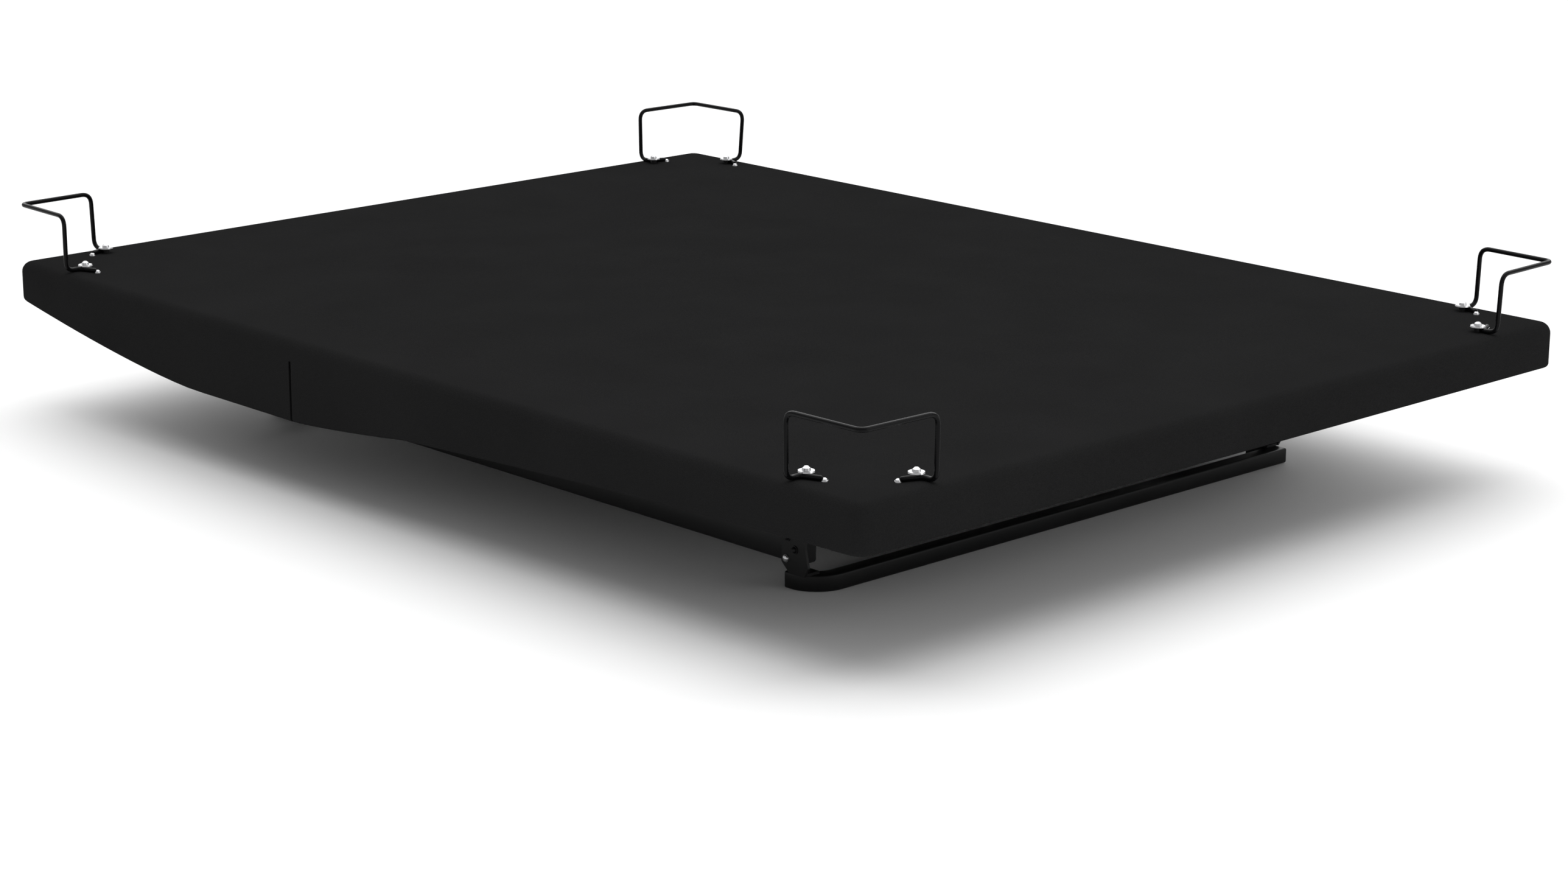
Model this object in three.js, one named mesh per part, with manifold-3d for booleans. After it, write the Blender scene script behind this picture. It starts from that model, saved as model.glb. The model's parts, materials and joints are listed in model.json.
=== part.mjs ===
// Adjustable bed base: an upholstered deck in four hinged sections on a low steel frame.
// Units are millimetres. +Z is up, X runs across the bed and +Y points to the head end.
// The origin is on the floor, under the middle of the deck.
import * as THREE from 'three';
import { mergeVertices } from 'three/addons/utils/BufferGeometryUtils.js';
import Module from 'manifold-3d';

const wasm = await Module();
wasm.setup();

// ---- Driving sizes ----
const deck = { width: 1524, length: 2007, top: 250, cornerRadius: 30, edgeRadius: 22 };
const sections = { head: 775, seat: 275, thigh: 400 };
const padThickness = 25;
const boardThickness = 15;
const sideBoard = { thickness: 15, cornerReach: 45 };
// Depth of the side boards below the deck top, along the bed.
const skirt = { headEnd: 62, belly: 128, bellyStart: 510, thighJoint: 103, footEnd: 70 };
const hinge = {
  height: deck.top - padThickness - boardThickness - 10, reach: 600,
  knuckleSpan: 80, knuckle: 26, barrelRadius: 8, pinRadius: 4,
  leafLength: 60, leafThickness: 4, plateStart: 12,
};
const travel = { head: 60, thigh: 35, calfRatio: 1.3 };
const fit = 0.3;
const sweepGap = 0.8;
const runningFit = 0.4;

const frame = { width: 1044, footInset: 330, headInset: 330 };
const endBar = { size: 25, wall: 2, bendRadius: 55, armLength: 62, headInset: 34 };
const rail = { width: 30, height: 50, wall: 2.5, setBack: 30, floorGap: 40 };
const crossmember = { depth: 30, height: 40, wall: 2.5 };
// A corner bracket's plate in side view: how far each point is from the end bar's outer face,
// and its height. The foot is the flange that lies on the bar.
const corner = {
  thickness: 4, near: 10.5, far: 64.5, waist: 16.5, footNear: 18.5, footFar: 48.5, flange: 26,
};
const pivotPlate = { thickness: 6, foot: 42, tabRadius: 20, margin: 30, edgeRoom: 8, flange: 30 };
const liftTube = { radius: 16, bore: 6, journalRadius: 10, journalLength: 9, drop: 50, seatShift: 12 };
const headArm = { length: 330, offset: 300, thickness: 6 };
const footArm = { length: 300, offset: 230, thickness: 6 };
const armEnd = { root: 22, tip: 11 };
const roller = { radius: 18, pinRadius: 6, pinLength: 24, endGap: 1 };
const wearPlate = { beyond: 26, towards: 70, thickness: 5, clearance: 0.4, endGap: 14 };
const lever = { radius: 85, thickness: 8, boss: 14, root: 22, slotRoom: 1.9 };
const headLever = { lean: 40, slot: 11 };
const footLever = { lean: 30, slot: 5 };

const actuator = {
  length: 330, offset: 90, rearHeight: 75, tubeRadius: 18, tubeBore: 13, rodRadius: 10,
  pinRadius: 5, cheek: 5, cheekRadius: 10, cheekGap: 1, clevisReach: 26, clevisBlock: 14,
  gearboxLength: 62, gearboxHeight: 64, gearboxWidth: 104, gearboxChamfer: 10, gearboxReach: 22,
  tubeLength: 190, motorRadius: 28, motorLength: 96, motorShift: 48, lugWidth: 20, lugRadius: 14,
  rearPinRadius: 6, earThickness: 6, earReach: 34, rodSetBack: 60,
};

const calfLink = {
  pivotAlong: 63.7, pivotDrop: 80.1, kneeAlong: 50, kneeDrop: 60, width: 24, thickness: 5,
  pinRadius: 5, openClearance: 2.4, bracketThickness: 5, bracketWidth: 40, crossRadius: 11,
  crossAlong: 190,
};

const retainer = {
  wireRadius: 3.2, height: 96, reach: 143, bend: 20, tipBend: 14, topInset: 5, tipInset: 11,
  footInset: 25, footReach: 150, footEndInset: 46, footTurn: 28, awayReach: 136,
};
const controlBox = { width: 190, length: 120, height: 38, wall: 3, slot: 6, slots: 5 };
const powerInlet = { width: 30, depth: 8, height: 22, recess: 5, rim: 3 };

const colour = {
  fabric: 0x242426, board: 0x1f1e1d, steel: 0x16171a, wire: 0x0b0b0c, zinc: 0xd6d7d8,
  plastic: 0x1d1e20, motor: 0x2b2d30, rod: 0xb9bcc0, nylon: 0xe6e4da,
};

// ---- Places worked out from the sizes ----
const halfWidth = deck.width / 2;
const headEnd = deck.length / 2;
const footEnd = -headEnd;
const headJoint = headEnd - sections.head;
const thighJoint = headJoint - sections.seat;
const kneeJoint = thighJoint - sections.thigh;
const padBottom = deck.top - padThickness;
const boardTop = padBottom - fit;
const boardBottom = padBottom - boardThickness;
const underBoard = boardBottom - fit;
const frameHalf = frame.width / 2;
const footBarFace = footEnd + frame.footInset;
const headBarFace = headEnd - frame.headInset;
const railBottom = rail.floorGap;
const railTop = railBottom + rail.height;
const railInner = frameHalf - rail.width;
const plateOuter = railInner - fit;
const plateInner = plateOuter - pivotPlate.thickness;
const tubeEnd = plateInner - sweepGap;
const headTube = { y: headJoint - liftTube.seatShift, z: hinge.height - liftTube.drop };
const footTube = { y: thighJoint + liftTube.seatShift, z: hinge.height - liftTube.drop };
const trackFace = underBoard - wearPlate.thickness;
const rollerHeight = trackFace - wearPlate.clearance - roller.radius;
const linkPivot = { y: thighJoint - calfLink.pivotAlong, z: hinge.height - calfLink.pivotDrop };
const linkKnee = { y: kneeJoint - calfLink.kneeAlong, z: hinge.height - calfLink.kneeDrop };
const radians = THREE.MathUtils.degToRad;

// The three joints, with the angle each one folds through. A joint that folds upwards needs
// room above its axis, and the knee needs it below.
const joints = {
  head: { y: headJoint, above: Math.tan(radians(travel.head / 2)), below: 0 },
  thigh: { y: thighJoint, above: Math.tan(radians(travel.thigh / 2)), below: 0 },
  knee: { y: kneeJoint, above: 0, below: Math.tan(radians(travel.thigh * travel.calfRatio / 2)) },
};

// ---- Solids ----
function solid(geometry) {
  const bare = geometry.clone();
  bare.deleteAttribute('normal');
  bare.deleteAttribute('uv');
  const merged = mergeVertices(bare, 1e-4);
  const mesh = new wasm.Mesh({
    numProp: 3,
    vertProperties: new Float32Array(merged.attributes.position.array),
    triVerts: new Uint32Array(merged.index.array),
  });
  return new wasm.Manifold(mesh);
}

function geometryOf(manifold) {
  const mesh = manifold.getMesh();
  const geometry = new THREE.BufferGeometry();
  geometry.setAttribute('position', new THREE.BufferAttribute(new Float32Array(mesh.vertProperties), 3));
  geometry.setIndex(new THREE.BufferAttribute(new Uint32Array(mesh.triVerts), 1));
  geometry.computeVertexNormals();
  return geometry;
}

const union = (...parts) => parts.reduce((whole, part) => whole.add(part));

function block(x0, x1, y0, y1, z0, z1) {
  const geometry = new THREE.BoxGeometry(x1 - x0, y1 - y0, z1 - z0);
  return solid(geometry.translate((x0 + x1) / 2, (y0 + y1) / 2, (z0 + z1) / 2));
}

// A shape drawn in plan, raised from z0 to z1.
function raise(shape, z0, z1, segments = 6) {
  const geometry = new THREE.ExtrudeGeometry(shape, {
    depth: z1 - z0, bevelEnabled: false, curveSegments: segments,
  });
  return solid(geometry.translate(0, 0, z0));
}

// A shape drawn in side view, with y across and z up, run from x0 to x1.
const sideways = new THREE.Matrix4().makeBasis(
  new THREE.Vector3(0, 1, 0), new THREE.Vector3(0, 0, 1), new THREE.Vector3(1, 0, 0),
);
function run(shape, x0, x1, segments = 6) {
  const geometry = new THREE.ExtrudeGeometry(shape, {
    depth: x1 - x0, bevelEnabled: false, curveSegments: segments,
  });
  return solid(geometry.applyMatrix4(sideways).translate(x0, 0, 0));
}

function disc(y, z, radius) {
  const shape = new THREE.Shape();
  shape.absarc(y, z, radius, 0, Math.PI * 2);
  return shape;
}

function addHole(shape, y, z, radius) {
  const hole = new THREE.Path();
  hole.absarc(y, z, radius, 0, Math.PI * 2, true);
  shape.holes.push(hole);
  return shape;
}

// A straight bar in side view with a round end at each of two points.
function taperedBar(from, to, fromRadius, toRadius) {
  const along = Math.atan2(to.z - from.z, to.y - from.y);
  const distance = Math.hypot(to.y - from.y, to.z - from.z);
  const flank = Math.acos((fromRadius - toRadius) / distance);
  const shape = new THREE.Shape();
  shape.absarc(from.y, from.z, fromRadius, along + flank, along - flank + Math.PI * 2);
  shape.absarc(to.y, to.z, toRadius, along - flank, along + flank);
  shape.closePath();
  return shape;
}

function roundedRectangle(width, length, radius) {
  const x = width / 2;
  const y = length / 2;
  const shape = new THREE.Shape();
  shape.absarc(x - radius, y - radius, radius, 0, Math.PI / 2);
  shape.absarc(-x + radius, y - radius, radius, Math.PI / 2, Math.PI);
  shape.absarc(-x + radius, -y + radius, radius, Math.PI, Math.PI * 1.5);
  shape.absarc(x - radius, -y + radius, radius, Math.PI * 1.5, Math.PI * 2);
  shape.closePath();
  return shape;
}

// A profile of [radius, height] points turned about +Z, and the same laid along +X.
function turned(profile, segments) {
  const points = profile.map(([radius, height]) => new THREE.Vector2(radius, height));
  return new THREE.LatheGeometry(points, segments).rotateX(Math.PI / 2);
}
const turnedAlongX = (profile, segments = 20) => turned(profile, segments).rotateY(Math.PI / 2);

function bothSides(make) {
  return union(make(1), make(-1));
}

const span = (side, near, far) => (side > 0 ? [near, far] : [-far, -near]);

// ---- Scene ----
const bed = new THREE.Group();

function material(hex, roughness, metalness) {
  return new THREE.MeshStandardMaterial({ color: hex, roughness, metalness });
}
const finish = {
  fabric: () => material(colour.fabric, 0.95, 0),
  board: () => material(colour.board, 0.8, 0),
  steel: () => material(colour.steel, 0.45, 0.3),
  wire: () => material(colour.wire, 0.3, 0.3),
  zinc: () => material(colour.zinc, 0.25, 1),
  plastic: () => material(colour.plastic, 0.55, 0),
  motor: () => material(colour.motor, 0.5, 0.2),
  rod: () => material(colour.rod, 0.25, 1),
  nylon: () => material(colour.nylon, 0.5, 0),
};

function newGroup(parent = bed) {
  const group = new THREE.Group();
  parent.add(group);
  return group;
}

function add(group, name, shape, finishName) {
  const geometry = shape instanceof THREE.BufferGeometry ? shape : geometryOf(shape);
  const mesh = new THREE.Mesh(geometry, finish[finishName]());
  mesh.name = name;
  group.add(mesh);
}

const root = newGroup();
const headSection = newGroup();
const thighSection = newGroup();
const calfSection = newGroup(thighSection);

// ---- Deck: pads, boards and side boards ----
// How far a section stays back from a joint's own plane at a height.
function jointRoom(joint, z) {
  const rise = z - hinge.height;
  const slope = rise > 0 ? joint.above : joint.below;
  return sweepGap + Math.abs(rise) * slope;
}

// A section runs from its foot side to its head side. Each side is a joint or a plain end.
const sectionSides = {
  head: { foot: joints.head, head: null },
  seat: { foot: joints.thigh, head: joints.head },
  thigh: { foot: joints.knee, head: joints.thigh },
  calf: { foot: null, head: joints.knee },
};
const footSideAt = (name, z) => {
  const joint = sectionSides[name].foot;
  return joint ? joint.y + jointRoom(joint, z) : footEnd;
};
const headSideAt = (name, z) => {
  const joint = sectionSides[name].head;
  return joint ? joint.y - jointRoom(joint, z) : headEnd;
};

// Depth of the side boards below the deck top at a distance from the head end: it swells from
// the head end to a belly at the head joint, then tapers in two stages to the foot end.
function skirtDepth(fromHead) {
  if (fromHead < skirt.bellyStart) {
    const left = 1 - fromHead / skirt.bellyStart;
    return skirt.belly - (skirt.belly - skirt.headEnd) * left ** 1.4;
  }
  if (fromHead <= sections.head) return skirt.belly;
  const past = (fromHead - sections.head) / sections.seat;
  if (past <= 1) return skirt.belly - (skirt.belly - skirt.thighJoint) * past ** 1.3;
  const rest = deck.length - sections.head - sections.seat;
  const left = Math.max(0, 1 - (fromHead - sections.head - sections.seat) / rest);
  return skirt.footEnd + (skirt.thighJoint - skirt.footEnd) * left ** 1.5;
}
const skirtBottom = (y) => deck.top - skirtDepth(headEnd - y);

const deckBlank = (() => {
  const shape = roundedRectangle(
    deck.width - 2 * deck.edgeRadius, deck.length - 2 * deck.edgeRadius,
    deck.cornerRadius - deck.edgeRadius,
  );
  const geometry = new THREE.ExtrudeGeometry(shape, {
    depth: padThickness, bevelThickness: deck.edgeRadius, bevelSize: deck.edgeRadius,
    bevelSegments: 4, curveSegments: 5,
  });
  return solid(geometry.translate(0, 0, deck.top - deck.edgeRadius - padThickness));
})();

function slab(name, z0, z1) {
  const shape = new THREE.Shape([
    new THREE.Vector2(footSideAt(name, z0), z0), new THREE.Vector2(headSideAt(name, z0), z0),
    new THREE.Vector2(headSideAt(name, z1), z1), new THREE.Vector2(footSideAt(name, z1), z1),
  ]);
  return run(shape, -halfWidth, halfWidth);
}

const deckOutline = raise(roundedRectangle(deck.width, deck.length, deck.cornerRadius), 0, deck.top);
const skirtRing = deckOutline.subtract(raise(
  roundedRectangle(
    deck.width - 2 * sideBoard.thickness, deck.length - 2 * sideBoard.thickness,
    deck.cornerRadius - sideBoard.thickness,
  ), -1, deck.top + 1,
));

// A side board in side view: straight on top, shaped to the skirt below.
function sideBoardShape(name) {
  const low = footSideAt(name, underBoard);
  const high = headSideAt(name, underBoard);
  const points = [new THREE.Vector2(high, underBoard), new THREE.Vector2(low, underBoard)];
  if (sectionSides[name].foot) points.push(new THREE.Vector2(footSideAt(name, hinge.height), hinge.height));
  const steps = Math.round((high - low) / 50);
  const start = footSideAt(name, skirtBottom(low));
  const end = headSideAt(name, skirtBottom(high));
  for (let i = 0; i <= steps; i += 1) {
    const y = start + (end - start) * i / steps;
    points.push(new THREE.Vector2(y, skirtBottom(y)));
  }
  if (sectionSides[name].head) points.push(new THREE.Vector2(headSideAt(name, hinge.height), hinge.height));
  return new THREE.Shape(points);
}

function endBoard(y0, y1, bottom) {
  const reach = halfWidth - sideBoard.cornerReach - fit;
  return skirtRing.intersect(block(-reach, reach, y0, y1, bottom, underBoard));
}

const groups = { head: headSection, seat: root, thigh: thighSection, calf: calfSection };
for (const name of Object.keys(groups)) {
  add(groups[name], `${name}_pad`, deckBlank.intersect(slab(name, padBottom, deck.top + 1)), 'fabric');
  add(groups[name], `${name}_board`, slab(name, boardBottom, boardTop).intersect(deckOutline), 'board');
  for (const [label, side] of [['left', -1], ['right', 1]]) {
    const [x0, x1] = span(side, halfWidth - sideBoard.cornerReach, halfWidth);
    const board = skirtRing.intersect(run(sideBoardShape(name), x0, x1));
    add(groups[name], `${name}_side_board_${label}`, board, 'board');
  }
}
const endReach = sideBoard.cornerReach;
add(headSection, 'head_end_board', endBoard(headEnd - endReach, headEnd, skirtBottom(headEnd)), 'board');
add(calfSection, 'calf_end_board', endBoard(footEnd, footEnd + endReach, skirtBottom(footEnd)), 'board');

// ---- Hinges: a leaf strip on each board edge, knuckled together near its ends ----
// Knuckles run in from each end of a strip: outer, inner, outer.
const knuckleStart = hinge.reach - hinge.knuckleSpan;
const barrelEnds = {
  near: [knuckleStart, knuckleStart + hinge.knuckle],
  middle: [knuckleStart + hinge.knuckle + fit, hinge.reach - hinge.knuckle - fit],
  far: [hinge.reach - hinge.knuckle, hinge.reach],
};
// A leaf lies under its board, reaching towards +Y (way 1) or -Y (way -1) from the axis. The
// leaf with the outer knuckles carries the pins, and the other one turns on them.
function hingeLeaf(y, way, carriesPins) {
  const top = underBoard - hinge.height;
  const bottom = top - hinge.leafThickness;
  const strip = (near, far) => (way > 0 ? [near, far] : [-far, -near]);
  const plate = block(-hinge.reach, hinge.reach, ...strip(hinge.plateStart, hinge.leafLength), bottom, top);
  const knuckle = (side, ends) => {
    const barrel = run(disc(0, 0, hinge.barrelRadius), ...span(side, ...ends), 8);
    return barrel.add(block(...span(side, ...ends), ...strip(0, hinge.plateStart + 1), bottom, top));
  };
  if (carriesPins) {
    const pin = disc(0, 0, hinge.pinRadius);
    const pins = bothSides((side) => run(pin, ...span(side, knuckleStart + 1, hinge.reach + 4)));
    const barrels = bothSides((side) => knuckle(side, barrelEnds.near).add(knuckle(side, barrelEnds.far)));
    return union(plate, barrels, pins).translate(0, y, hinge.height);
  }
  const bore = run(disc(0, 0, hinge.pinRadius + runningFit), -halfWidth, halfWidth, 8);
  const barrels = bothSides((side) => knuckle(side, barrelEnds.middle));
  return plate.add(barrels.subtract(bore)).translate(0, y, hinge.height);
}

// Bracket plates on the calf leaf hang down to the calf links.
const linkOuter = plateInner - sweepGap;
const linkInner = linkOuter - calfLink.thickness;
function calfBracket(side) {
  const inner = linkOuter + sweepGap;
  const shape = new THREE.Shape();
  shape.moveTo(linkKnee.y + calfLink.bracketWidth / 2, underBoard);
  shape.lineTo(linkKnee.y - calfLink.bracketWidth / 2, underBoard);
  shape.absarc(linkKnee.y, linkKnee.z, calfLink.width / 2, Math.PI, Math.PI * 2);
  shape.closePath();
  const plate = run(shape, ...span(side, inner, inner + calfLink.bracketThickness));
  const pin = disc(linkKnee.y, linkKnee.z, calfLink.pinRadius);
  return plate.add(run(pin, ...span(side, linkInner - 3, inner + 1)));
}
const calfLeaf = hingeLeaf(joints.knee.y, -1, false).add(bothSides(calfBracket));
add(root, 'seat_hinge_leaf_head', hingeLeaf(joints.head.y, -1, true), 'steel');
add(root, 'seat_hinge_leaf_thigh', hingeLeaf(joints.thigh.y, 1, true), 'steel');
add(headSection, 'head_hinge_leaf', hingeLeaf(joints.head.y, 1, false), 'steel');
add(thighSection, 'thigh_hinge_leaf', hingeLeaf(joints.thigh.y, -1, false), 'steel');
add(thighSection, 'knee_hinge_leaf', hingeLeaf(joints.knee.y, 1, true), 'steel');
add(calfSection, 'calf_hinge_leaf', calfLeaf, 'steel');

// ---- Steel base frame ----
// An end bar in plan: straight across, with a short arm at each side. The left arm turns in a
// round bend and the right one is mitred. The head bar is the foot bar turned round and made
// narrower, so it stands inside the line of the rails.
const headBarHalf = frameHalf - endBar.headInset;
function endBarShape(face, way, half, inset, overrun) {
  const x = half - inset;
  const outer = endBar.bendRadius - inset;
  const inner = endBar.bendRadius - endBar.size + inset;
  const width = endBar.size - 2 * inset;
  const base = inset;
  const tip = endBar.armLength + overrun;
  const bend = endBar.bendRadius;
  const quarter = Math.PI / 2;
  const shape = new THREE.Shape();
  shape.moveTo(x, tip);
  shape.lineTo(x - width, tip);
  shape.lineTo(x - width, base + width);
  shape.absarc(-half + bend, bend, inner, -quarter, -2 * quarter, true);
  shape.lineTo(-x + width, tip);
  shape.lineTo(-x, tip);
  shape.absarc(-half + bend, bend, outer, -2 * quarter, -quarter);
  shape.lineTo(x, base);
  shape.closePath();
  const bar = raise(shape, inset, endBar.size - inset, 6);
  return (way > 0 ? bar : bar.rotate([0, 0, 180])).translate(0, face, 0);
}
function endBarTube(face, way, half) {
  return endBarShape(face, way, half, 0, 0).subtract(endBarShape(face, way, half, endBar.wall, 5));
}
add(root, 'foot_end_bar', endBarTube(footBarFace, 1, frameHalf), 'steel');
add(root, 'head_end_bar', endBarTube(headBarFace, -1, headBarHalf), 'steel');

const railStart = footBarFace + rail.setBack;
const railEnd = headBarFace - rail.setBack;
function hollowBar(x0, x1, y0, y1, z0, z1, wall, openAlongX) {
  const outer = block(x0, x1, y0, y1, z0, z1);
  const inner = openAlongX
    ? block(x0 - 1, x1 + 1, y0 + wall, y1 - wall, z0 + wall, z1 - wall)
    : block(x0 + wall, x1 - wall, y0 - 1, y1 + 1, z0 + wall, z1 - wall);
  return outer.subtract(inner);
}
for (const [label, side] of [['left', -1], ['right', 1]]) {
  const [x0, x1] = span(side, railInner, frameHalf);
  const bar = hollowBar(x0, x1, railStart, railEnd, railBottom, railTop, rail.wall, false);
  add(root, `base_rail_${label}`, bar, 'steel');
}

// A corner bracket joins each rail to the end bar under it: a plate on the rail's outer face
// and a flange on the bar.
const corners = [
  ['foot_left', footBarFace, 1, -1], ['foot_right', footBarFace, 1, 1],
  ['head_left', headBarFace, -1, -1], ['head_right', headBarFace, -1, 1],
];
const bracketBottom = endBar.size + fit;
for (const [label, face, way, side] of corners) {
  const outer = frameHalf + fit;
  const outline = [
    [corner.far, railTop], [corner.far, railBottom], [corner.footFar, bracketBottom],
    [corner.footNear, bracketBottom], [corner.near, railBottom],
    [corner.waist, (railBottom + railTop) / 2], [corner.footNear, railTop],
  ].map(([from, z]) => new THREE.Vector2(face + way * from, z));
  const plate = run(new THREE.Shape(outline), ...span(side, outer, outer + corner.thickness));
  const reach = [face + way * corner.footNear, face + way * corner.footFar];
  const inner = (way > 0 ? frameHalf : headBarHalf) + fit - corner.flange;
  const flange = block(
    ...span(side, inner, outer + 1), Math.min(...reach), Math.max(...reach),
    bracketBottom, bracketBottom + corner.thickness,
  );
  add(root, `corner_bracket_${label}`, plate.add(flange), 'steel');
}

// Centre plates stand inside the rails. They carry the seat board, both lift tubes and the
// calf links.
function centrePlateShape() {
  const radius = pivotPlate.tabRadius;
  const shoulder = railTop;
  const margin = radius + pivotPlate.margin;
  const headEdge = headJoint - hinge.leafLength - pivotPlate.edgeRoom;
  const footEdge = thighJoint + hinge.leafLength + pivotPlate.edgeRoom;
  const shape = new THREE.Shape();
  shape.moveTo(linkPivot.y - margin, pivotPlate.foot);
  shape.lineTo(headTube.y + margin, pivotPlate.foot);
  shape.lineTo(headTube.y + margin, shoulder - 8);
  shape.lineTo(headTube.y + radius, shoulder);
  shape.absarc(headTube.y, headTube.z, radius, 0, Math.PI);
  shape.lineTo(headEdge, headTube.z - radius);
  shape.lineTo(headEdge, underBoard);
  shape.lineTo(footEdge, underBoard);
  shape.lineTo(footEdge, footTube.z - radius);
  for (const pivot of [footTube, linkPivot]) {
    shape.lineTo(pivot.y + radius, pivot === footTube ? pivot.z - radius : shoulder);
    shape.absarc(pivot.y, pivot.z, radius, 0, Math.PI);
    shape.lineTo(pivot.y - radius, shoulder);
  }
  shape.lineTo(linkPivot.y - margin, shoulder - 8);
  shape.closePath();
  addHole(shape, headTube.y, headTube.z, liftTube.journalRadius + runningFit);
  addHole(shape, footTube.y, footTube.z, liftTube.journalRadius + runningFit);
  return { shape, headEdge, footEdge };
}
function centrePlateAt(side) {
  const { shape, headEdge, footEdge } = centrePlateShape();
  const plate = run(shape, ...span(side, plateInner, plateOuter), 10);
  const pin = run(
    disc(linkPivot.y, linkPivot.z, calfLink.pinRadius), ...span(side, linkInner - 3, plateInner + 1),
  );
  const flange = block(
    ...span(side, plateInner - pivotPlate.flange, plateInner + 1), footEdge, headEdge,
    underBoard - pivotPlate.thickness, underBoard,
  );
  return union(plate, pin, flange);
}
add(root, 'centre_plate_left', centrePlateAt(-1), 'steel');
add(root, 'centre_plate_right', centrePlateAt(1), 'steel');

// ---- Lift frames: a tube across the bed, two arms with rollers, and a slotted lever ----
function tubeProfile() {
  const { radius, bore, journalRadius, journalLength } = liftTube;
  const end = tubeEnd + journalLength;
  return [
    [bore, -end], [journalRadius, -end], [journalRadius, -tubeEnd], [radius, -tubeEnd],
    [radius, tubeEnd], [journalRadius, tubeEnd], [journalRadius, end], [bore, end], [bore, -end],
  ];
}
function rollerPlace(tube, arm, way) {
  const rise = rollerHeight - tube.z;
  return { y: tube.y + way * Math.sqrt(arm.length ** 2 - rise ** 2), z: rollerHeight };
}
function liftFrame(tube, arm, way, leverSize, leverX) {
  const place = rollerPlace(tube, arm, way);
  const tubeSolid = solid(turnedAlongX(tubeProfile())).translate(0, tube.y, tube.z);
  const bore = run(disc(tube.y, tube.z, liftTube.radius - 2), -halfWidth, halfWidth);
  const arms = bothSides((side) => {
    const far = arm.offset + arm.thickness;
    const plate = run(taperedBar(tube, place, armEnd.root, armEnd.tip), ...span(side, arm.offset, far));
    const pinStart = arm.offset - roller.pinLength;
    const pin = run(disc(place.y, place.z, roller.pinRadius), ...span(side, pinStart, far - 1));
    return plate.subtract(bore).add(pin);
  });
  const lean = radians(leverSize.lean);
  const onLever = (distance) => ({
    y: tube.y - way * distance * Math.sin(lean), z: tube.z - distance * Math.cos(lean),
  });
  const plate = run(
    taperedBar(tube, onLever(lever.radius), lever.root, lever.boss),
    leverX - lever.thickness / 2, leverX + lever.thickness / 2,
  );
  // The slot lets the rod's pin slide towards the tube in the middle of its travel.
  const room = actuator.pinRadius + lever.slotRoom;
  const slot = run(
    taperedBar(onLever(lever.radius - leverSize.slot), onLever(lever.radius + 1), room, room - 0.01),
    leverX - lever.thickness, leverX + lever.thickness,
  );
  return union(tubeSolid, arms, plate.subtract(bore)).subtract(slot);
}
// A bar roller spans the two arms, bored right through for their stub pins.
function barRoller(tube, arm, way) {
  const place = rollerPlace(tube, arm, way);
  const reach = arm.offset - roller.endGap;
  const bore = roller.pinRadius + runningFit;
  const profile = [
    [bore, -reach], [roller.radius, -reach], [roller.radius, reach], [bore, reach], [bore, -reach],
  ];
  return solid(turnedAlongX(profile)).translate(0, place.y, place.z);
}
function wearPlateAt(tube, arm, way) {
  const place = rollerPlace(tube, arm, way);
  const ends = [place.y + way * wearPlate.beyond, place.y - way * wearPlate.towards];
  const reach = arm.offset - wearPlate.endGap;
  return block(-reach, reach, Math.min(...ends), Math.max(...ends), trackFace, underBoard);
}
const headLift = newGroup();
const footLift = newGroup();
const headX = actuator.offset;
const footX = -actuator.offset;
add(headLift, 'head_lift_frame', liftFrame(headTube, headArm, 1, headLever, headX), 'steel');
add(newGroup(headLift), 'head_roller', barRoller(headTube, headArm, 1), 'nylon');
add(headSection, 'head_wear_plate', wearPlateAt(headTube, headArm, 1), 'steel');
add(footLift, 'foot_lift_frame', liftFrame(footTube, footArm, -1, footLever, footX), 'steel');
add(newGroup(footLift), 'foot_roller', barRoller(footTube, footArm, -1), 'nylon');
add(thighSection, 'thigh_wear_plate', wearPlateAt(footTube, footArm, -1), 'steel');

// ---- Linear actuators ----
function actuatorLine(tube, way, leverSize) {
  const lean = radians(leverSize.lean);
  const front = {
    y: tube.y - way * lever.radius * Math.sin(lean), z: tube.z - lever.radius * Math.cos(lean),
  };
  const rise = front.z - actuator.rearHeight;
  const rear = { y: front.y - way * Math.sqrt(actuator.length ** 2 - rise ** 2), z: actuator.rearHeight };
  return { front, rear, way, tilt: Math.asin(rise / actuator.length) };
}
// Pieces are drawn along +Y from the rear pivot at the origin, then laid on the line.
function lay(part, line, x) {
  const turn = line.way > 0 ? part : part.rotate([0, 0, 180]);
  const angle = THREE.MathUtils.radToDeg(line.tilt) * line.way;
  return turn.rotate([angle, 0, 0]).translate(x, line.rear.y, line.rear.z);
}
function alongY(radius, y0, y1, segments = 20) {
  const geometry = new THREE.CylinderGeometry(radius, radius, y1 - y0, segments);
  return solid(geometry.translate(0, (y0 + y1) / 2, 0));
}
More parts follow.
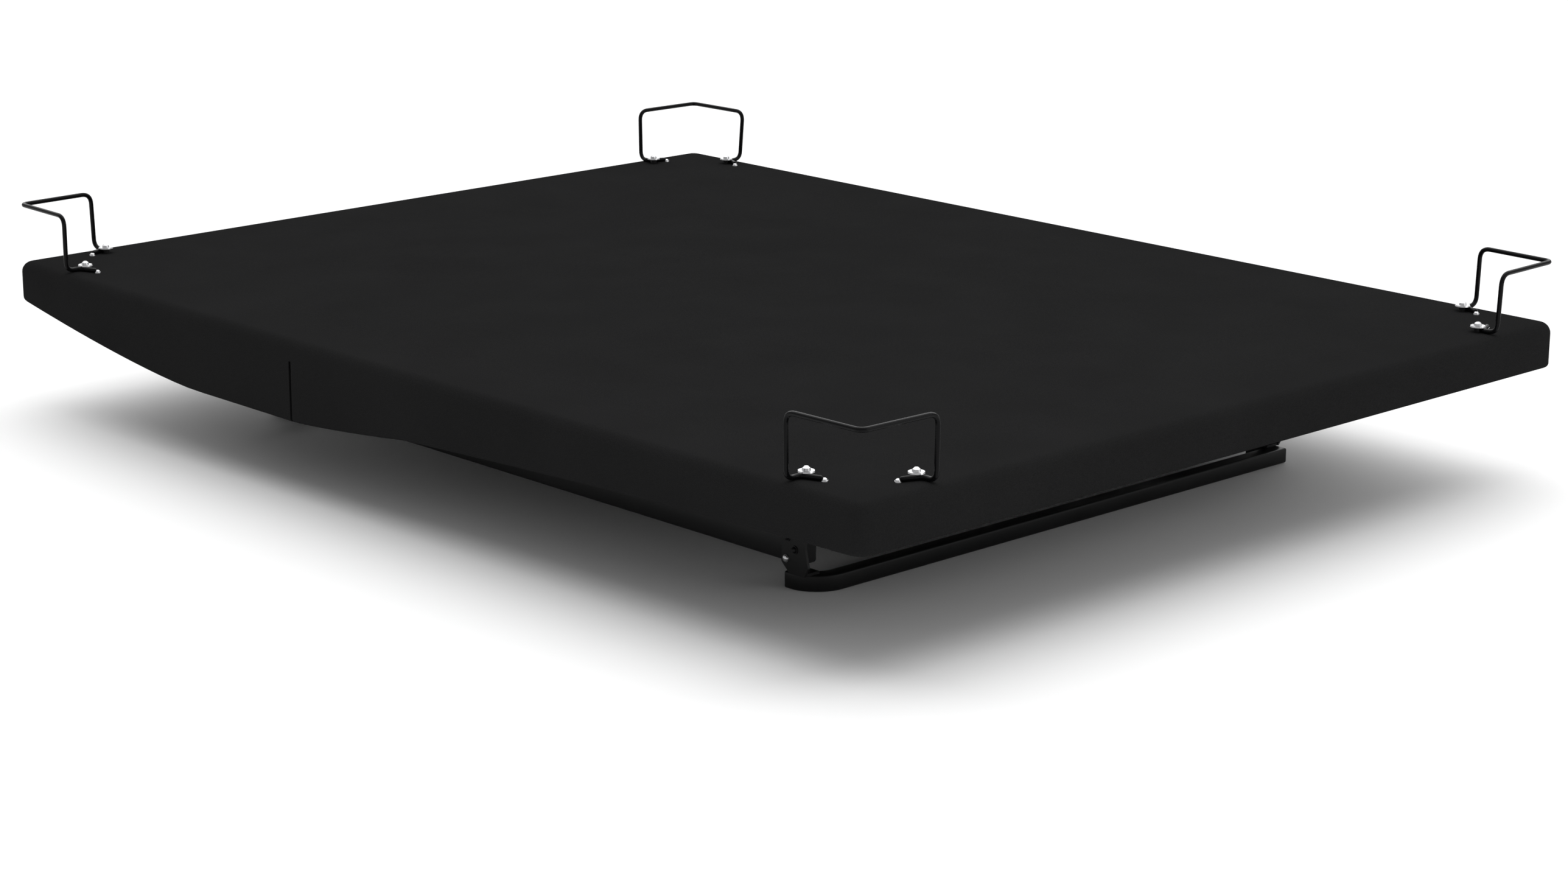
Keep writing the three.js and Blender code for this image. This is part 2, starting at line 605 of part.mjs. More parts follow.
// The gearbox casing spans the tube's line and the motor beside it.
function gearbox() {
  const { gearboxHeight, gearboxReach, gearboxChamfer, gearboxWidth, lugWidth, lugRadius } = actuator;
  const end = gearboxReach + actuator.gearboxLength;
  const half = gearboxHeight / 2;
  const outline = new THREE.Shape([
    [gearboxReach + gearboxChamfer, -half], [end - gearboxChamfer, -half], [end, gearboxChamfer - half],
    [end, half - gearboxChamfer], [end - gearboxChamfer, half], [gearboxReach + gearboxChamfer, half],
    [gearboxReach, half - gearboxChamfer], [gearboxReach, gearboxChamfer - half],
  ].map(([y, z]) => new THREE.Vector2(y, z)));
  const inner = (actuator.motorShift - gearboxWidth) / 2;
  const casing = run(outline, inner, inner + gearboxWidth);
  const lug = run(
    taperedBar({ y: 0, z: 0 }, { y: gearboxReach + 8, z: 0 }, lugRadius, lugRadius - 0.5),
    -lugWidth / 2, lugWidth / 2,
  );
  const hole = run(disc(0, 0, actuator.rearPinRadius + runningFit), -lugWidth, lugWidth);
  const rodRoom = alongY(actuator.rodRadius + 1, actuator.rodSetBack, end + 1);
  const tube = alongY(actuator.tubeRadius, end - 1, end + actuator.tubeLength);
  const bore = alongY(actuator.tubeBore, end - 4, end + actuator.tubeLength + 1);
  return union(casing, lug, tube).subtract(union(hole, rodRoom, bore));
}
function motor() {
  const start = actuator.gearboxReach + actuator.gearboxLength + fit;
  const can = alongY(actuator.motorRadius, start, start + actuator.motorLength);
  return can.translate(actuator.motorShift, 0, 0);
}
function rod() {
  const end = actuator.length;
  const blockFront = end - actuator.clevisReach;
  const blockBack = blockFront - actuator.clevisBlock;
  const cheekIn = lever.thickness / 2 + actuator.cheekGap;
  const cheekOut = cheekIn + actuator.cheek;
  const shaft = alongY(actuator.rodRadius, actuator.rodSetBack + 2, blockBack + 1);
  const back = block(-cheekOut, cheekOut, blockBack, blockFront, -actuator.cheekRadius, actuator.cheekRadius);
  const bar = taperedBar(
    { y: blockFront - 2, z: 0 }, { y: end, z: 0 }, actuator.cheekRadius, actuator.cheekRadius - 0.1,
  );
  const cheeks = bothSides((side) => run(bar, ...span(side, cheekIn, cheekOut)));
  const pin = run(disc(end, 0, actuator.pinRadius), -cheekOut - 3, cheekOut + 3);
  return union(shaft, back, cheeks.subtract(block(-99, 99, 0, blockBack, -99, 99)), pin);
}
// A crossmember between the rails, with two ears and a pin for an actuator's rear lug.
function crossmemberAt(line, x) {
  const face = line.rear.y - line.way * actuator.earReach;
  const back = face - line.way * crossmember.depth;
  const z0 = railTop - crossmember.height;
  const reach = railInner - fit;
  const bar = hollowBar(
    -reach, reach, Math.min(face, back), Math.max(face, back), z0, railTop, crossmember.wall, true,
  );
  const earIn = actuator.lugWidth / 2 + sweepGap;
  const ear = taperedBar(
    { y: face, z: railTop - actuator.lugRadius }, line.rear, actuator.lugRadius, actuator.lugRadius - 0.1,
  );
  const ears = bothSides((side) => run(ear, ...span(side, earIn, earIn + actuator.earThickness)));
  const weld = face - line.way;
  const behind = [weld, weld - line.way * crossmember.depth];
  const trim = block(-halfWidth, halfWidth, Math.min(...behind), Math.max(...behind), 0, deck.top);
  const hole = run(disc(line.rear.y, line.rear.z, actuator.rearPinRadius + 0.2), -halfWidth, halfWidth);
  return bar.add(ears.translate(x, 0, 0).subtract(union(trim, hole)));
}
function rearPin(line, x) {
  const reach = actuator.lugWidth / 2 + sweepGap + actuator.earThickness + 4;
  return run(disc(line.rear.y, line.rear.z, actuator.rearPinRadius), x - reach, x + reach);
}
const headLine = actuatorLine(headTube, 1, headLever);
const footLine = actuatorLine(footTube, -1, footLever);
add(root, 'head_motor_crossmember', crossmemberAt(headLine, headX), 'steel');
add(root, 'foot_motor_crossmember', crossmemberAt(footLine, footX), 'steel');
add(root, 'head_actuator_pin', rearPin(headLine, headX), 'zinc');
add(root, 'foot_actuator_pin', rearPin(footLine, footX), 'zinc');
for (const [name, line, x] of [['head', headLine, headX], ['foot', footLine, footX]]) {
  const body = newGroup();
  add(body, `${name}_gearbox`, lay(gearbox(), line, x), 'plastic');
  add(body, `${name}_motor`, lay(motor(), line, x), 'motor');
  add(newGroup(body), `${name}_actuator_rod`, lay(rod(), line, x), 'rod');
}

// ---- Calf link frame: two links joined by a cross tube ----
const linkAngle = Math.atan2(linkKnee.z - linkPivot.z, linkKnee.y - linkPivot.y);
const crossPlace = {
  y: linkPivot.y + calfLink.crossAlong * Math.cos(linkAngle),
  z: linkPivot.z + calfLink.crossAlong * Math.sin(linkAngle),
};
const links = bothSides((side) => {
  const shape = taperedBar(linkPivot, linkKnee, calfLink.width / 2, calfLink.width / 2 - 0.01);
  addHole(shape, linkPivot.y, linkPivot.z, calfLink.pinRadius + runningFit);
  addHole(shape, linkKnee.y, linkKnee.z, calfLink.pinRadius + calfLink.openClearance);
  return run(shape, ...span(side, linkInner, linkOuter));
});
const crossTube = run(disc(crossPlace.y, crossPlace.z, calfLink.crossRadius), -linkInner - 1, linkInner + 1);
add(newGroup(), 'calf_link_frame', links.add(crossTube), 'steel');

// ---- Mattress retainers ----
// A path through the points with its inner corners rounded off.
function roundedPath(points, bends) {
  const path = new THREE.CurvePath();
  let from = points[0];
  for (let i = 1; i < points.length - 1; i += 1) {
    const corner = points[i];
    const back = points[i - 1].clone().sub(corner).setLength(bends[i - 1]).add(corner);
    const ahead = points[i + 1].clone().sub(corner).setLength(bends[i - 1]).add(corner);
    path.add(new THREE.LineCurve3(from, back));
    path.add(new THREE.QuadraticBezierCurve3(back, corner, ahead));
    from = ahead;
  }
  path.add(new THREE.LineCurve3(from, points[points.length - 1]));
  return path;
}
// Feet of a retainer: along is measured from the corner along an edge, inset from that edge.
// A foot turns along the edge towards the corner (turn -1) or away from it (turn 1).
function footPlaces(turn) {
  const leg = turn < 0 ? retainer.footReach : retainer.awayReach;
  return {
    leg: { along: leg, inset: retainer.footInset },
    end: { along: leg + turn * retainer.footTurn, inset: retainer.footEndInset },
  };
}
function cornerPoint(sideX, sideY, edge, { along, inset }, z) {
  const fromX = edge === 'side' ? inset : along;
  const fromY = edge === 'side' ? along : inset;
  return new THREE.Vector3(sideX * (halfWidth - fromX), sideY * (headEnd - fromY), z);
}
const wireFloor = deck.top + fit + retainer.wireRadius;
const wireTop = deck.top + retainer.height;
function retainerWire(sideX, sideY, turns) {
  const at = (edge, place, z) => cornerPoint(sideX, sideY, edge, place, z);
  const top = { along: retainer.reach, inset: retainer.topInset };
  const sideFoot = footPlaces(turns.side);
  const endFoot = footPlaces(turns.end);
  const tip = { along: retainer.tipInset, inset: retainer.tipInset };
  const points = [
    at('side', sideFoot.end, wireFloor), at('side', sideFoot.leg, wireFloor), at('side', top, wireTop),
    at('side', tip, wireTop), at('end', top, wireTop), at('end', endFoot.leg, wireFloor),
    at('end', endFoot.end, wireFloor),
  ];
  const { bend, tipBend } = retainer;
  const path = roundedPath(points, [bend / 2, bend, tipBend, bend, bend / 2]);
  const section = new THREE.Shape();
  section.absarc(0, 0, retainer.wireRadius, 0, Math.PI * 2);
  return new THREE.ExtrudeGeometry(section, {
    steps: 48, extrudePath: path, curveSegments: 3, bevelEnabled: false,
  });
}
const retainerTurns = { head: { side: 1, end: -1 }, foot: { side: -1, end: -1 } };
for (const [name, group, sideY] of [['head', headSection, 1], ['foot', calfSection, -1]]) {
  add(group, `${name}_retainer_left`, retainerWire(-1, sideY, retainerTurns[name]), 'wire');
  add(group, `${name}_retainer_right`, retainerWire(1, sideY, retainerTurns[name]), 'wire');
}

// ---- Control box with its power inlet, under the seat board ----
const boxMiddle = (headTube.y + footTube.y) / 2;
const boxTop = underBoard;
const boxBottom = boxTop - controlBox.height;
const boxX = controlBox.width / 2;
const boxY = controlBox.length / 2;
const boxSolid = raise(roundedRectangle(controlBox.width, controlBox.length, 8), boxBottom, boxTop);
const boxHollow = block(
  -boxX + controlBox.wall, boxX - controlBox.wall, -boxY + controlBox.wall, boxY - controlBox.wall,
  boxBottom + controlBox.wall, boxTop - controlBox.wall,
);
// Cooling slots through the underside open the hollow.
const slots = [];
for (let i = 0; i < controlBox.slots; i += 1) {
  const x = (i - (controlBox.slots - 1) / 2) * 3 * controlBox.slot;
  slots.push(block(
    x - controlBox.slot / 2, x + controlBox.slot / 2, -boxY / 2, boxY / 2, boxBottom - 1, boxBottom + 9,
  ));
}
const box = boxSolid.subtract(union(boxHollow, ...slots)).translate(0, boxMiddle, 0);
add(root, 'control_box', box, 'plastic');
const inletX = boxX + fit;
const inletZ = (boxBottom + boxTop) / 2;
const inletY = powerInlet.width / 2;
const inletHalf = powerInlet.height / 2;
const inlet = block(inletX, inletX + powerInlet.depth, -inletY, inletY, -inletHalf, inletHalf)
  .subtract(block(
    inletX + powerInlet.depth - powerInlet.recess, inletX + powerInlet.depth + 1,
    -inletY + powerInlet.rim, inletY - powerInlet.rim,
    -inletHalf + powerInlet.rim, inletHalf - powerInlet.rim,
  ))
  .translate(0, boxMiddle, inletZ);
add(root, 'power_inlet', inlet, 'plastic');

export default bed;
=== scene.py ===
import json
import math

import bmesh
import bpy
from mathutils import Matrix, Vector


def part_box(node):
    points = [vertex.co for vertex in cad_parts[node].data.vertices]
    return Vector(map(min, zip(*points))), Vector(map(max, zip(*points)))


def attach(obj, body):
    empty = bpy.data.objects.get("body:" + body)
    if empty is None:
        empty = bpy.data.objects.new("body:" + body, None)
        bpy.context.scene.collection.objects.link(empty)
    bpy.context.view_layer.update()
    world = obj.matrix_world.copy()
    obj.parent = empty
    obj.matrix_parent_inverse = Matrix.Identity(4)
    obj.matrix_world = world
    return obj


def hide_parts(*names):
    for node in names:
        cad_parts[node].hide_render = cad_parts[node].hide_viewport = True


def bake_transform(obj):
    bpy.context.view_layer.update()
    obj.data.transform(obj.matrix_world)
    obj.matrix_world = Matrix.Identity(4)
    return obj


bl_info = {
    "name": "Adjustable bed base",
    "version": (1, 0, 0),
    "blender": (4, 5, 0),
    "location": "View3D > Sidebar > Bed Base",
    "description": "Fabric cover, steel frame, retainers and fasteners of an adjustable bed base",
    "category": "Object",
}

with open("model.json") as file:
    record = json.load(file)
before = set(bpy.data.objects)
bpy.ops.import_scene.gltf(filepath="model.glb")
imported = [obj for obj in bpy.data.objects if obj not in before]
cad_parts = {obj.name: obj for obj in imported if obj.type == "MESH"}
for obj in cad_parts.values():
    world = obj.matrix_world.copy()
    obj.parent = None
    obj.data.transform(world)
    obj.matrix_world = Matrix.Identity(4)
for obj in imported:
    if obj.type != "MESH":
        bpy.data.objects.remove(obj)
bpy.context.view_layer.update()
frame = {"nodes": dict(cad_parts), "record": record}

# ---- Places read from the frame ----
DECK_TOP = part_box("head_pad")[1][2]
HALF_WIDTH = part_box("head_pad")[1][0]
HEAD_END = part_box("head_pad")[1][1]
FOOT_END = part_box("calf_pad")[0][1]
PAD_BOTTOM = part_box("head_pad")[0][2]
UNDER_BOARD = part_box("head_side_board_left")[1][2]
JOINTS = {joint["name"]: joint for joint in frame["record"]["behaviour"]["joints"]}
HEAD_JOINT = JOINTS["head_tilt"]["pos_m"][1]
THIGH_JOINT = JOINTS["thigh_tilt"]["pos_m"][1]
KNEE_JOINT = JOINTS["calf_tilt"]["pos_m"][1]
HINGE_HEIGHT = JOINTS["head_tilt"]["pos_m"][2]
MID_SEAT = (HEAD_JOINT + THIGH_JOINT) / 2
MID_THIGH = (THIGH_JOINT + KNEE_JOINT) / 2

SIDE_BOARD = 0.015
# How much the skirts' ends lean back at the head joint: half of its 60 degrees, as a slope.
HALF_ROOM = math.tan(math.radians(30))
# Depth of the skirt below the deck top, as the CAD side boards have it.
SKIRT_HEAD_END = 0.062
SKIRT_BELLY = 0.128
SKIRT_BELLY_START = 0.510
SKIRT_THIGH_JOINT = 0.103
SKIRT_FOOT_END = 0.070


# ---- Settings ----
class BedCoverSettings(bpy.types.PropertyGroup):
    edge_radius: bpy.props.FloatProperty(
        name="Edge radius", description="Rounding along the deck's top edge",
        default=0.017, min=0.005, max=0.05, subtype="DISTANCE", unit="LENGTH",
    )
    corner_radius: bpy.props.FloatProperty(
        name="Corner radius", description="Rounding of the deck's corners in plan",
        default=0.024, min=0.02, max=0.08, subtype="DISTANCE", unit="LENGTH",
    )
    skin: bpy.props.FloatProperty(
        name="Cover thickness", description="How far the cover stands out from the boards",
        default=0.0015, min=0.0005, max=0.004, subtype="DISTANCE", unit="LENGTH",
    )
    lip_gap: bpy.props.FloatProperty(
        name="Lip gap", description="Space between the cover's lip and the boards inside it",
        default=0.0002, min=0.0, max=0.001, subtype="DISTANCE", unit="LENGTH",
    )
    crown: bpy.props.FloatProperty(
        name="Crown", description="How much the foam rises towards the middle of the deck",
        default=0.0025, min=0.0, max=0.01, subtype="DISTANCE", unit="LENGTH",
    )
    fold_reach: bpy.props.FloatProperty(
        name="Fold reach", description="Length each side of a joint over which the cover bends",
        default=0.050, min=0.04, max=0.1, subtype="DISTANCE", unit="LENGTH",
    )
    seam_width: bpy.props.FloatProperty(
        name="Seam width", description="Width of the side seam at the head joint",
        default=0.005, min=0.002, max=0.01, subtype="DISTANCE", unit="LENGTH",
    )
    seam_top: bpy.props.FloatProperty(
        name="Seam top", description="How far below the deck top the side seam starts",
        default=0.033, min=0.03, max=0.05, subtype="DISTANCE", unit="LENGTH",
    )
    hem_radius: bpy.props.FloatProperty(
        name="Hem radius", description="Rounding along the skirt's lower edge",
        default=0.006, min=0.002, max=0.007, subtype="DISTANCE", unit="LENGTH",
    )
    station_step: bpy.props.FloatProperty(
        name="Station step", description="Mesh spacing along the deck away from the folds",
        default=0.040, min=0.01, max=0.1, subtype="DISTANCE", unit="LENGTH",
    )
    fold_step: bpy.props.FloatProperty(
        name="Fold step", description="Mesh spacing along the deck in the folds",
        default=0.005, min=0.002, max=0.02, subtype="DISTANCE", unit="LENGTH",
    )


class BedFrameSettings(bpy.types.PropertyGroup):
    bar_size: bpy.props.FloatProperty(
        name="End bar size", description="Side of the end bars' square tube",
        default=0.025, min=0.015, max=0.05, subtype="DISTANCE", unit="LENGTH",
    )
    bar_corner: bpy.props.FloatProperty(
        name="Tube corner radius", description="Rounding of the tubes' long edges",
        default=0.0032, min=0.001, max=0.008, subtype="DISTANCE", unit="LENGTH",
    )
    bend_radius: bpy.props.FloatProperty(
        name="Bend radius", description="Outer radius of the end bars' round bend",
        default=0.055, min=0.03, max=0.1, subtype="DISTANCE", unit="LENGTH",
    )


class BedRetainerSettings(bpy.types.PropertyGroup):
    wire_radius: bpy.props.FloatProperty(
        name="Wire radius", description="Radius of the mattress retainers' wire",
        default=0.0037, min=0.002, max=0.006, subtype="DISTANCE", unit="LENGTH",
    )
    height: bpy.props.FloatProperty(
        name="Height", description="Height of the wire's top run above the deck",
        default=0.096, min=0.05, max=0.15, subtype="DISTANCE", unit="LENGTH",
    )
    washer_radius: bpy.props.FloatProperty(
        name="Washer radius", description="Radius of the bolts' flange washers",
        default=0.012, min=0.006, max=0.02, subtype="DISTANCE", unit="LENGTH",
    )
    dome_radius: bpy.props.FloatProperty(
        name="Dome radius", description="Radius of the bolts' domed heads",
        default=0.0062, min=0.003, max=0.01, subtype="DISTANCE", unit="LENGTH",
    )


class BedFinishSettings(bpy.types.PropertyGroup):
    fabric: bpy.props.FloatVectorProperty(
        name="Fabric", description="Colour of the woven cover", subtype="COLOR",
        size=3, default=(0.0165, 0.0165, 0.0167), min=0.0, max=1.0,
    )
    steel: bpy.props.FloatVectorProperty(
        name="Frame paint", description="Colour of the frame's powder coat", subtype="COLOR",
        size=3, default=(0.0045, 0.0045, 0.0048), min=0.0, max=1.0,
    )
    wire: bpy.props.FloatVectorProperty(
        name="Wire enamel", description="Colour of the retainers' gloss enamel", subtype="COLOR",
        size=3, default=(0.0035, 0.0035, 0.0038), min=0.0, max=1.0,
    )
    zinc: bpy.props.FloatVectorProperty(
        name="Zinc plate", description="Colour of the plated bolts and pins", subtype="COLOR",
        size=3, default=(0.60, 0.60, 0.61), min=0.0, max=1.0,
    )
    board: bpy.props.FloatVectorProperty(
        name="Board", description="Colour of the stained boards under the deck", subtype="COLOR",
        size=3, default=(0.012, 0.0115, 0.011), min=0.0, max=1.0,
    )


# ---- Materials ----
def new_group(name, labels):
    """An effect with these inputs, which gives a colour, a height and a roughness."""
    group = bpy.data.node_groups.new(name, "ShaderNodeTree")
    sockets = [(label, "INPUT") for label in labels]
    sockets += [(label, "OUTPUT") for label in ("Color", "Height", "Roughness")]
    for label, way in sockets:
        kind = "NodeSocketColor" if label == "Color" else "NodeSocketFloat"
        group.interface.new_socket(label, in_out=way, socket_type=kind)
    n = Nodes(group)
    return group, n, n.add("NodeGroupInput")


class Nodes:
    """Short calls to add and join shader nodes in one tree."""

    def __init__(self, tree):
        self.tree = tree

    def add(self, kind, **values):
        node = self.tree.nodes.new(kind)
        for key, value in values.items():
            setattr(node, key, value)
        return node

    def join(self, source, target):
        self.tree.links.new(source, target)

    def feed(self, socket, value):
        if hasattr(value, "is_output"):
            self.join(value, socket)
        else:
            socket.default_value = value

    def math(self, operation, *values):
        node = self.add("ShaderNodeMath", operation=operation)
        for socket, value in zip(node.inputs, values):
            self.feed(socket, value)
        return node.outputs[0]

    def noise(self, vector, scale, detail=3.0, roughness=0.5):
        node = self.add("ShaderNodeTexNoise")
        self.join(vector, node.inputs["Vector"])
        self.feed(node.inputs["Scale"], scale)
        node.inputs["Detail"].default_value = detail
        node.inputs["Roughness"].default_value = roughness
        return node.outputs["Fac"]

    def remap(self, value, low, high, to_low, to_high):
        node = self.add("ShaderNodeMapRange")
        for socket, item in zip(node.inputs, (value, low, high, to_low, to_high)):
            self.feed(socket, item)
        return node.outputs[0]

    def scaled(self, colour, factor):
        """The colour times a factor that changes over the surface."""
        node = self.add("ShaderNodeVectorMath", operation="SCALE")
        self.feed(node.inputs[0], colour)
        self.feed(node.inputs["Scale"], factor)
        return node.outputs[0]


def weave_group():
    """Plain weave of crossing threads, laid flat on whichever way the surface faces, with painted shade
    darkening the colour between the threads.
    """
    group, n, start = new_group("woven_cloth", ("Color", "Thread", "Heather"))
    place = n.add("ShaderNodeTexCoord")
    at = n.add("ShaderNodeSeparateXYZ")
    n.join(place.outputs["Object"], at.inputs[0])
    way = n.add("ShaderNodeSeparateXYZ")
    n.join(place.outputs["Normal"], way.inputs[0])
    sideways = n.math("GREATER_THAN", n.math("ABSOLUTE", way.outputs["X"]), 0.7)
    upright = n.math("LESS_THAN", n.math("ABSOLUTE", way.outputs["Z"]), 0.7)

    def pick(mask, first, second):
        kept = n.math("MULTIPLY", first, n.math("SUBTRACT", 1.0, mask))
        return n.math("ADD", kept, n.math("MULTIPLY", second, mask))

    across = pick(sideways, at.outputs["X"], at.outputs["Y"])
    along = pick(upright, at.outputs["Y"], at.outputs["Z"])
    turn = n.math("DIVIDE", math.pi, start.outputs["Thread"])
    warp = n.math("SINE", n.math("MULTIPLY", across, turn))
    weft = n.math("SINE", n.math("MULTIPLY", along, turn))
    over = n.math("GREATER_THAN", n.math("MULTIPLY", warp, weft), 0.0)
    height = pick(over, n.math("ABSOLUTE", warp), n.math("ABSOLUTE", weft))
    fine = n.noise(place.outputs["Object"], 900.0, 2.0)
    broad = n.noise(place.outputs["Object"], 7.0, 3.0)
    tone = n.math("MULTIPLY", n.remap(fine, 0.3, 0.7, 0.82, 1.18), n.remap(broad, 0.3, 0.7, 0.95, 1.05))
    # Painted shade: the thread colour is darkened where the weave's height is low, between the threads.
    shade = n.remap(height, 0.0, 1.0, n.math("SUBTRACT", 1.0, start.outputs["Heather"]), 1.0)
    finish = n.add("NodeGroupOutput")
    n.join(n.scaled(start.outputs["Color"], n.math("MULTIPLY", tone, shade)), finish.inputs["Color"])
    n.join(n.math("ADD", height, n.math("MULTIPLY", fine, 0.5)), finish.inputs["Height"])
    n.join(n.remap(broad, 0.2, 0.8, 0.86, 0.98), finish.inputs["Roughness"])
    return group


def coat_group():
    """Sprayed or moulded skin: faint orange peel, dull patches and light scuffs."""
    group, n, start = new_group("sprayed_coat", ("Color", "Roughness", "Grain", "Scuffs"))
    place = n.add("ShaderNodeTexCoord").outputs["Object"]
    peel = n.noise(place, start.outputs["Grain"], 2.0)
    patch = n.noise(place, 9.0, 4.0)
    stretched = n.add("ShaderNodeMapping")
    stretched.inputs["Scale"].default_value = (60.0, 9.0, 60.0)
    n.join(place, stretched.inputs["Vector"])
    scratch = n.noise(stretched.outputs[0], 4.0, 6.0, 0.7)
    scuff = n.math("MULTIPLY", n.remap(scratch, 0.62, 0.8, 0.0, 1.0), start.outputs["Scuffs"])
    lift = n.math("ADD", n.remap(patch, 0.3, 0.7, 0.9, 1.1), scuff)
    finish = n.add("NodeGroupOutput")
    n.join(n.scaled(start.outputs["Color"], lift), finish.inputs["Color"])
    n.join(peel, finish.inputs["Height"])
    rough = n.math("ADD", start.outputs["Roughness"], n.remap(patch, 0.3, 0.7, -0.06, 0.06))
    n.join(n.math("ADD", rough, n.math("MULTIPLY", scuff, 0.2)), finish.inputs["Roughness"])
    return group


def board_group():
    """Pressed wood fibre board with flecks and faint broad changes of tone."""
    group, n, start = new_group("fibre_board", ("Color", "Fleck"))
    place = n.add("ShaderNodeTexCoord").outputs["Object"]
    fleck = n.noise(place, 420.0, 3.0, 0.65)
    broad = n.noise(place, 5.0, 4.0)
    tone = n.math(
        "ADD", n.remap(broad, 0.3, 0.7, 0.9, 1.1),
        n.math("MULTIPLY", n.remap(fleck, 0.3, 0.7, -1.0, 1.0), start.outputs["Fleck"]),
    )
    finish = n.add("NodeGroupOutput")
    n.join(n.scaled(start.outputs["Color"], tone), finish.inputs["Color"])
    n.join(fleck, finish.inputs["Height"])
    n.join(n.remap(fleck, 0.3, 0.7, 0.7, 0.9), finish.inputs["Roughness"])
    return group


GROUPS = {}


def group(name):
    """Each shared node group is made once, when it is first asked for."""
    makers = {
        "woven_cloth": weave_group, "sprayed_coat": coat_group, "fibre_board": board_group,
        "fasteners": fastener_tree,
    }
    if name not in GROUPS:
        GROUPS[name] = makers[name]()
    return GROUPS[name]


def finish_material(name, effect, colour, settings, bump, distance, shader_values):
    """A material whose colour, roughness and bump come from one of the shared effects."""
    material = bpy.data.materials.new(name)
    material.use_nodes = True
    material.diffuse_color = (*colour, 1)
    n = Nodes(material.node_tree)
    shader = material.node_tree.nodes["Principled BSDF"]
    node = n.add("ShaderNodeGroup", node_tree=group(effect))
    node.inputs["Color"].default_value = (*colour, 1)
    for label, value in settings.items():
        node.inputs[label].default_value = value
    n.join(node.outputs["Color"], shader.inputs["Base Color"])
    n.join(node.outputs["Roughness"], shader.inputs["Roughness"])
    relief = n.add("ShaderNodeBump")
    relief.inputs["Strength"].default_value = bump
    relief.inputs["Distance"].default_value = distance
    n.join(node.outputs["Height"], relief.inputs["Height"])
    n.join(relief.outputs["Normal"], shader.inputs["Normal"])
    for label, value in shader_values.items():
        shader.inputs[label].default_value = value
    return material


MATERIALS = {}


def material(name):
    """Each finish is made once, when a piece first asks for it."""
    if name in MATERIALS:
        return MATERIALS[name]
    finish = bpy.context.scene.bed_finish
    coat = "sprayed_coat"
    # Effect, colour, the effect's settings, bump strength, bump distance and shader values.
    table = {
        # The fabric's second effect setting darkens its colour between the threads as painted shade.
        "fabric": ("woven_cloth", finish.fabric, {"Thread": 0.0013, "Heather": 0.35}, 0.35, 0.0004,
                   {"Specular IOR Level": 0.0}),
        "steel": (coat, finish.steel, {"Roughness": 0.42, "Grain": 700.0, "Scuffs": 0.5}, 0.15, 0.0002,
                  {"Specular IOR Level": 0.25}),
        "wire": (coat, finish.wire, {"Roughness": 0.22, "Grain": 400.0, "Scuffs": 0.4}, 0.05, 0.0001,
                 {"Specular IOR Level": 0.08}),
        "zinc": (coat, finish.zinc, {"Roughness": 0.27, "Grain": 900.0, "Scuffs": 0.1}, 0.08, 0.0001,
                 {"Metallic": 1.0}),
        "rod": (coat, (0.62, 0.63, 0.65), {"Roughness": 0.16, "Grain": 900.0, "Scuffs": 0.1},
                0.03, 0.0001, {"Metallic": 1.0}),
        "plastic": (coat, (0.018, 0.018, 0.019), {"Roughness": 0.5, "Grain": 1500.0, "Scuffs": 0.2},
                    0.25, 0.0002, {}),
        "motor": (coat, (0.045, 0.046, 0.050), {"Roughness": 0.35, "Grain": 500.0, "Scuffs": 0.4},
                  0.1, 0.0002, {"Metallic": 0.6}),
        "nylon": (coat, (0.62, 0.60, 0.54), {"Roughness": 0.42, "Grain": 300.0, "Scuffs": 0.15},
                  0.05, 0.0002, {"Subsurface Weight": 0.1, "Subsurface Radius": (0.004, 0.004, 0.003)}),
        "board": ("fibre_board", finish.board, {"Fleck": 0.22}, 0.3, 0.0004,
                  {"Specular IOR Level": 0.3}),
    }
    effect, colour, settings, bump, distance, values = table[name]
    MATERIALS[name] = finish_material(name, effect, tuple(colour), settings, bump, distance, values)
    return MATERIALS[name]


# ---- Mesh helpers ----
def placed(name, data):
    """A new object in the scene."""
    item = bpy.data.objects.new(name, data)
    bpy.context.scene.collection.objects.link(item)
    return item


def new_piece(name, vertices, faces, finish, smooth_angle):
    mesh = bpy.data.meshes.new(name)
    mesh.from_pydata([tuple(v) for v in vertices], [], faces)
    mesh.validate()
    mesh.materials.append(material(finish))
    piece = placed(name, mesh)
    smooth(mesh, smooth_angle)
    return piece


def smooth(mesh, angle):
    mesh.shade_smooth()
    mesh.set_sharp_from_angle(angle=math.radians(angle))


def arc(centre, radius, start, end, steps):
    """Points on an arc in a plane, with both its ends."""
    points = []
    for i in range(steps + 1):
        angle = math.radians(start + (end - start) * i / steps)
        points.append((centre[0] + radius * math.cos(angle), centre[1] + radius * math.sin(angle)))
    return points


def spaced(start, end, step):
    """Evenly spaced values from start to end, both included, no further apart than step."""
    count = max(1, math.ceil(abs(end - start) / step - 1e-6))
    return [start + (end - start) * i / count for i in range(count + 1)]


def walls(rings):
    """Vertices and faces that join equal rings one after another, open at both ends."""
    size = len(rings[0])
    faces = []
    for i in range(len(rings) - 1):
        a, b = i * size, (i + 1) * size
        for k in range(size):
            j = (k + 1) % size
            faces.append((a + k, a + j, b + j, b + k))
    return [point for ring in rings for point in ring], faces


def swept(rings):
    """The walls through equal rings, with both ends capped."""
    vertices, faces = walls(rings)
    size = len(rings[0])
    faces.append(tuple(reversed(range(size))))
    faces.append(tuple(range(len(vertices) - size, len(vertices))))
    return vertices, faces


def outward(piece):
    """Turns every face of a closed mesh outwards."""
    bm = bmesh.new()
    bm.from_mesh(piece.data)
    bmesh.ops.recalc_face_normals(bm, faces=bm.faces)
    bm.to_mesh(piece.data)
    bm.free()
    return piece


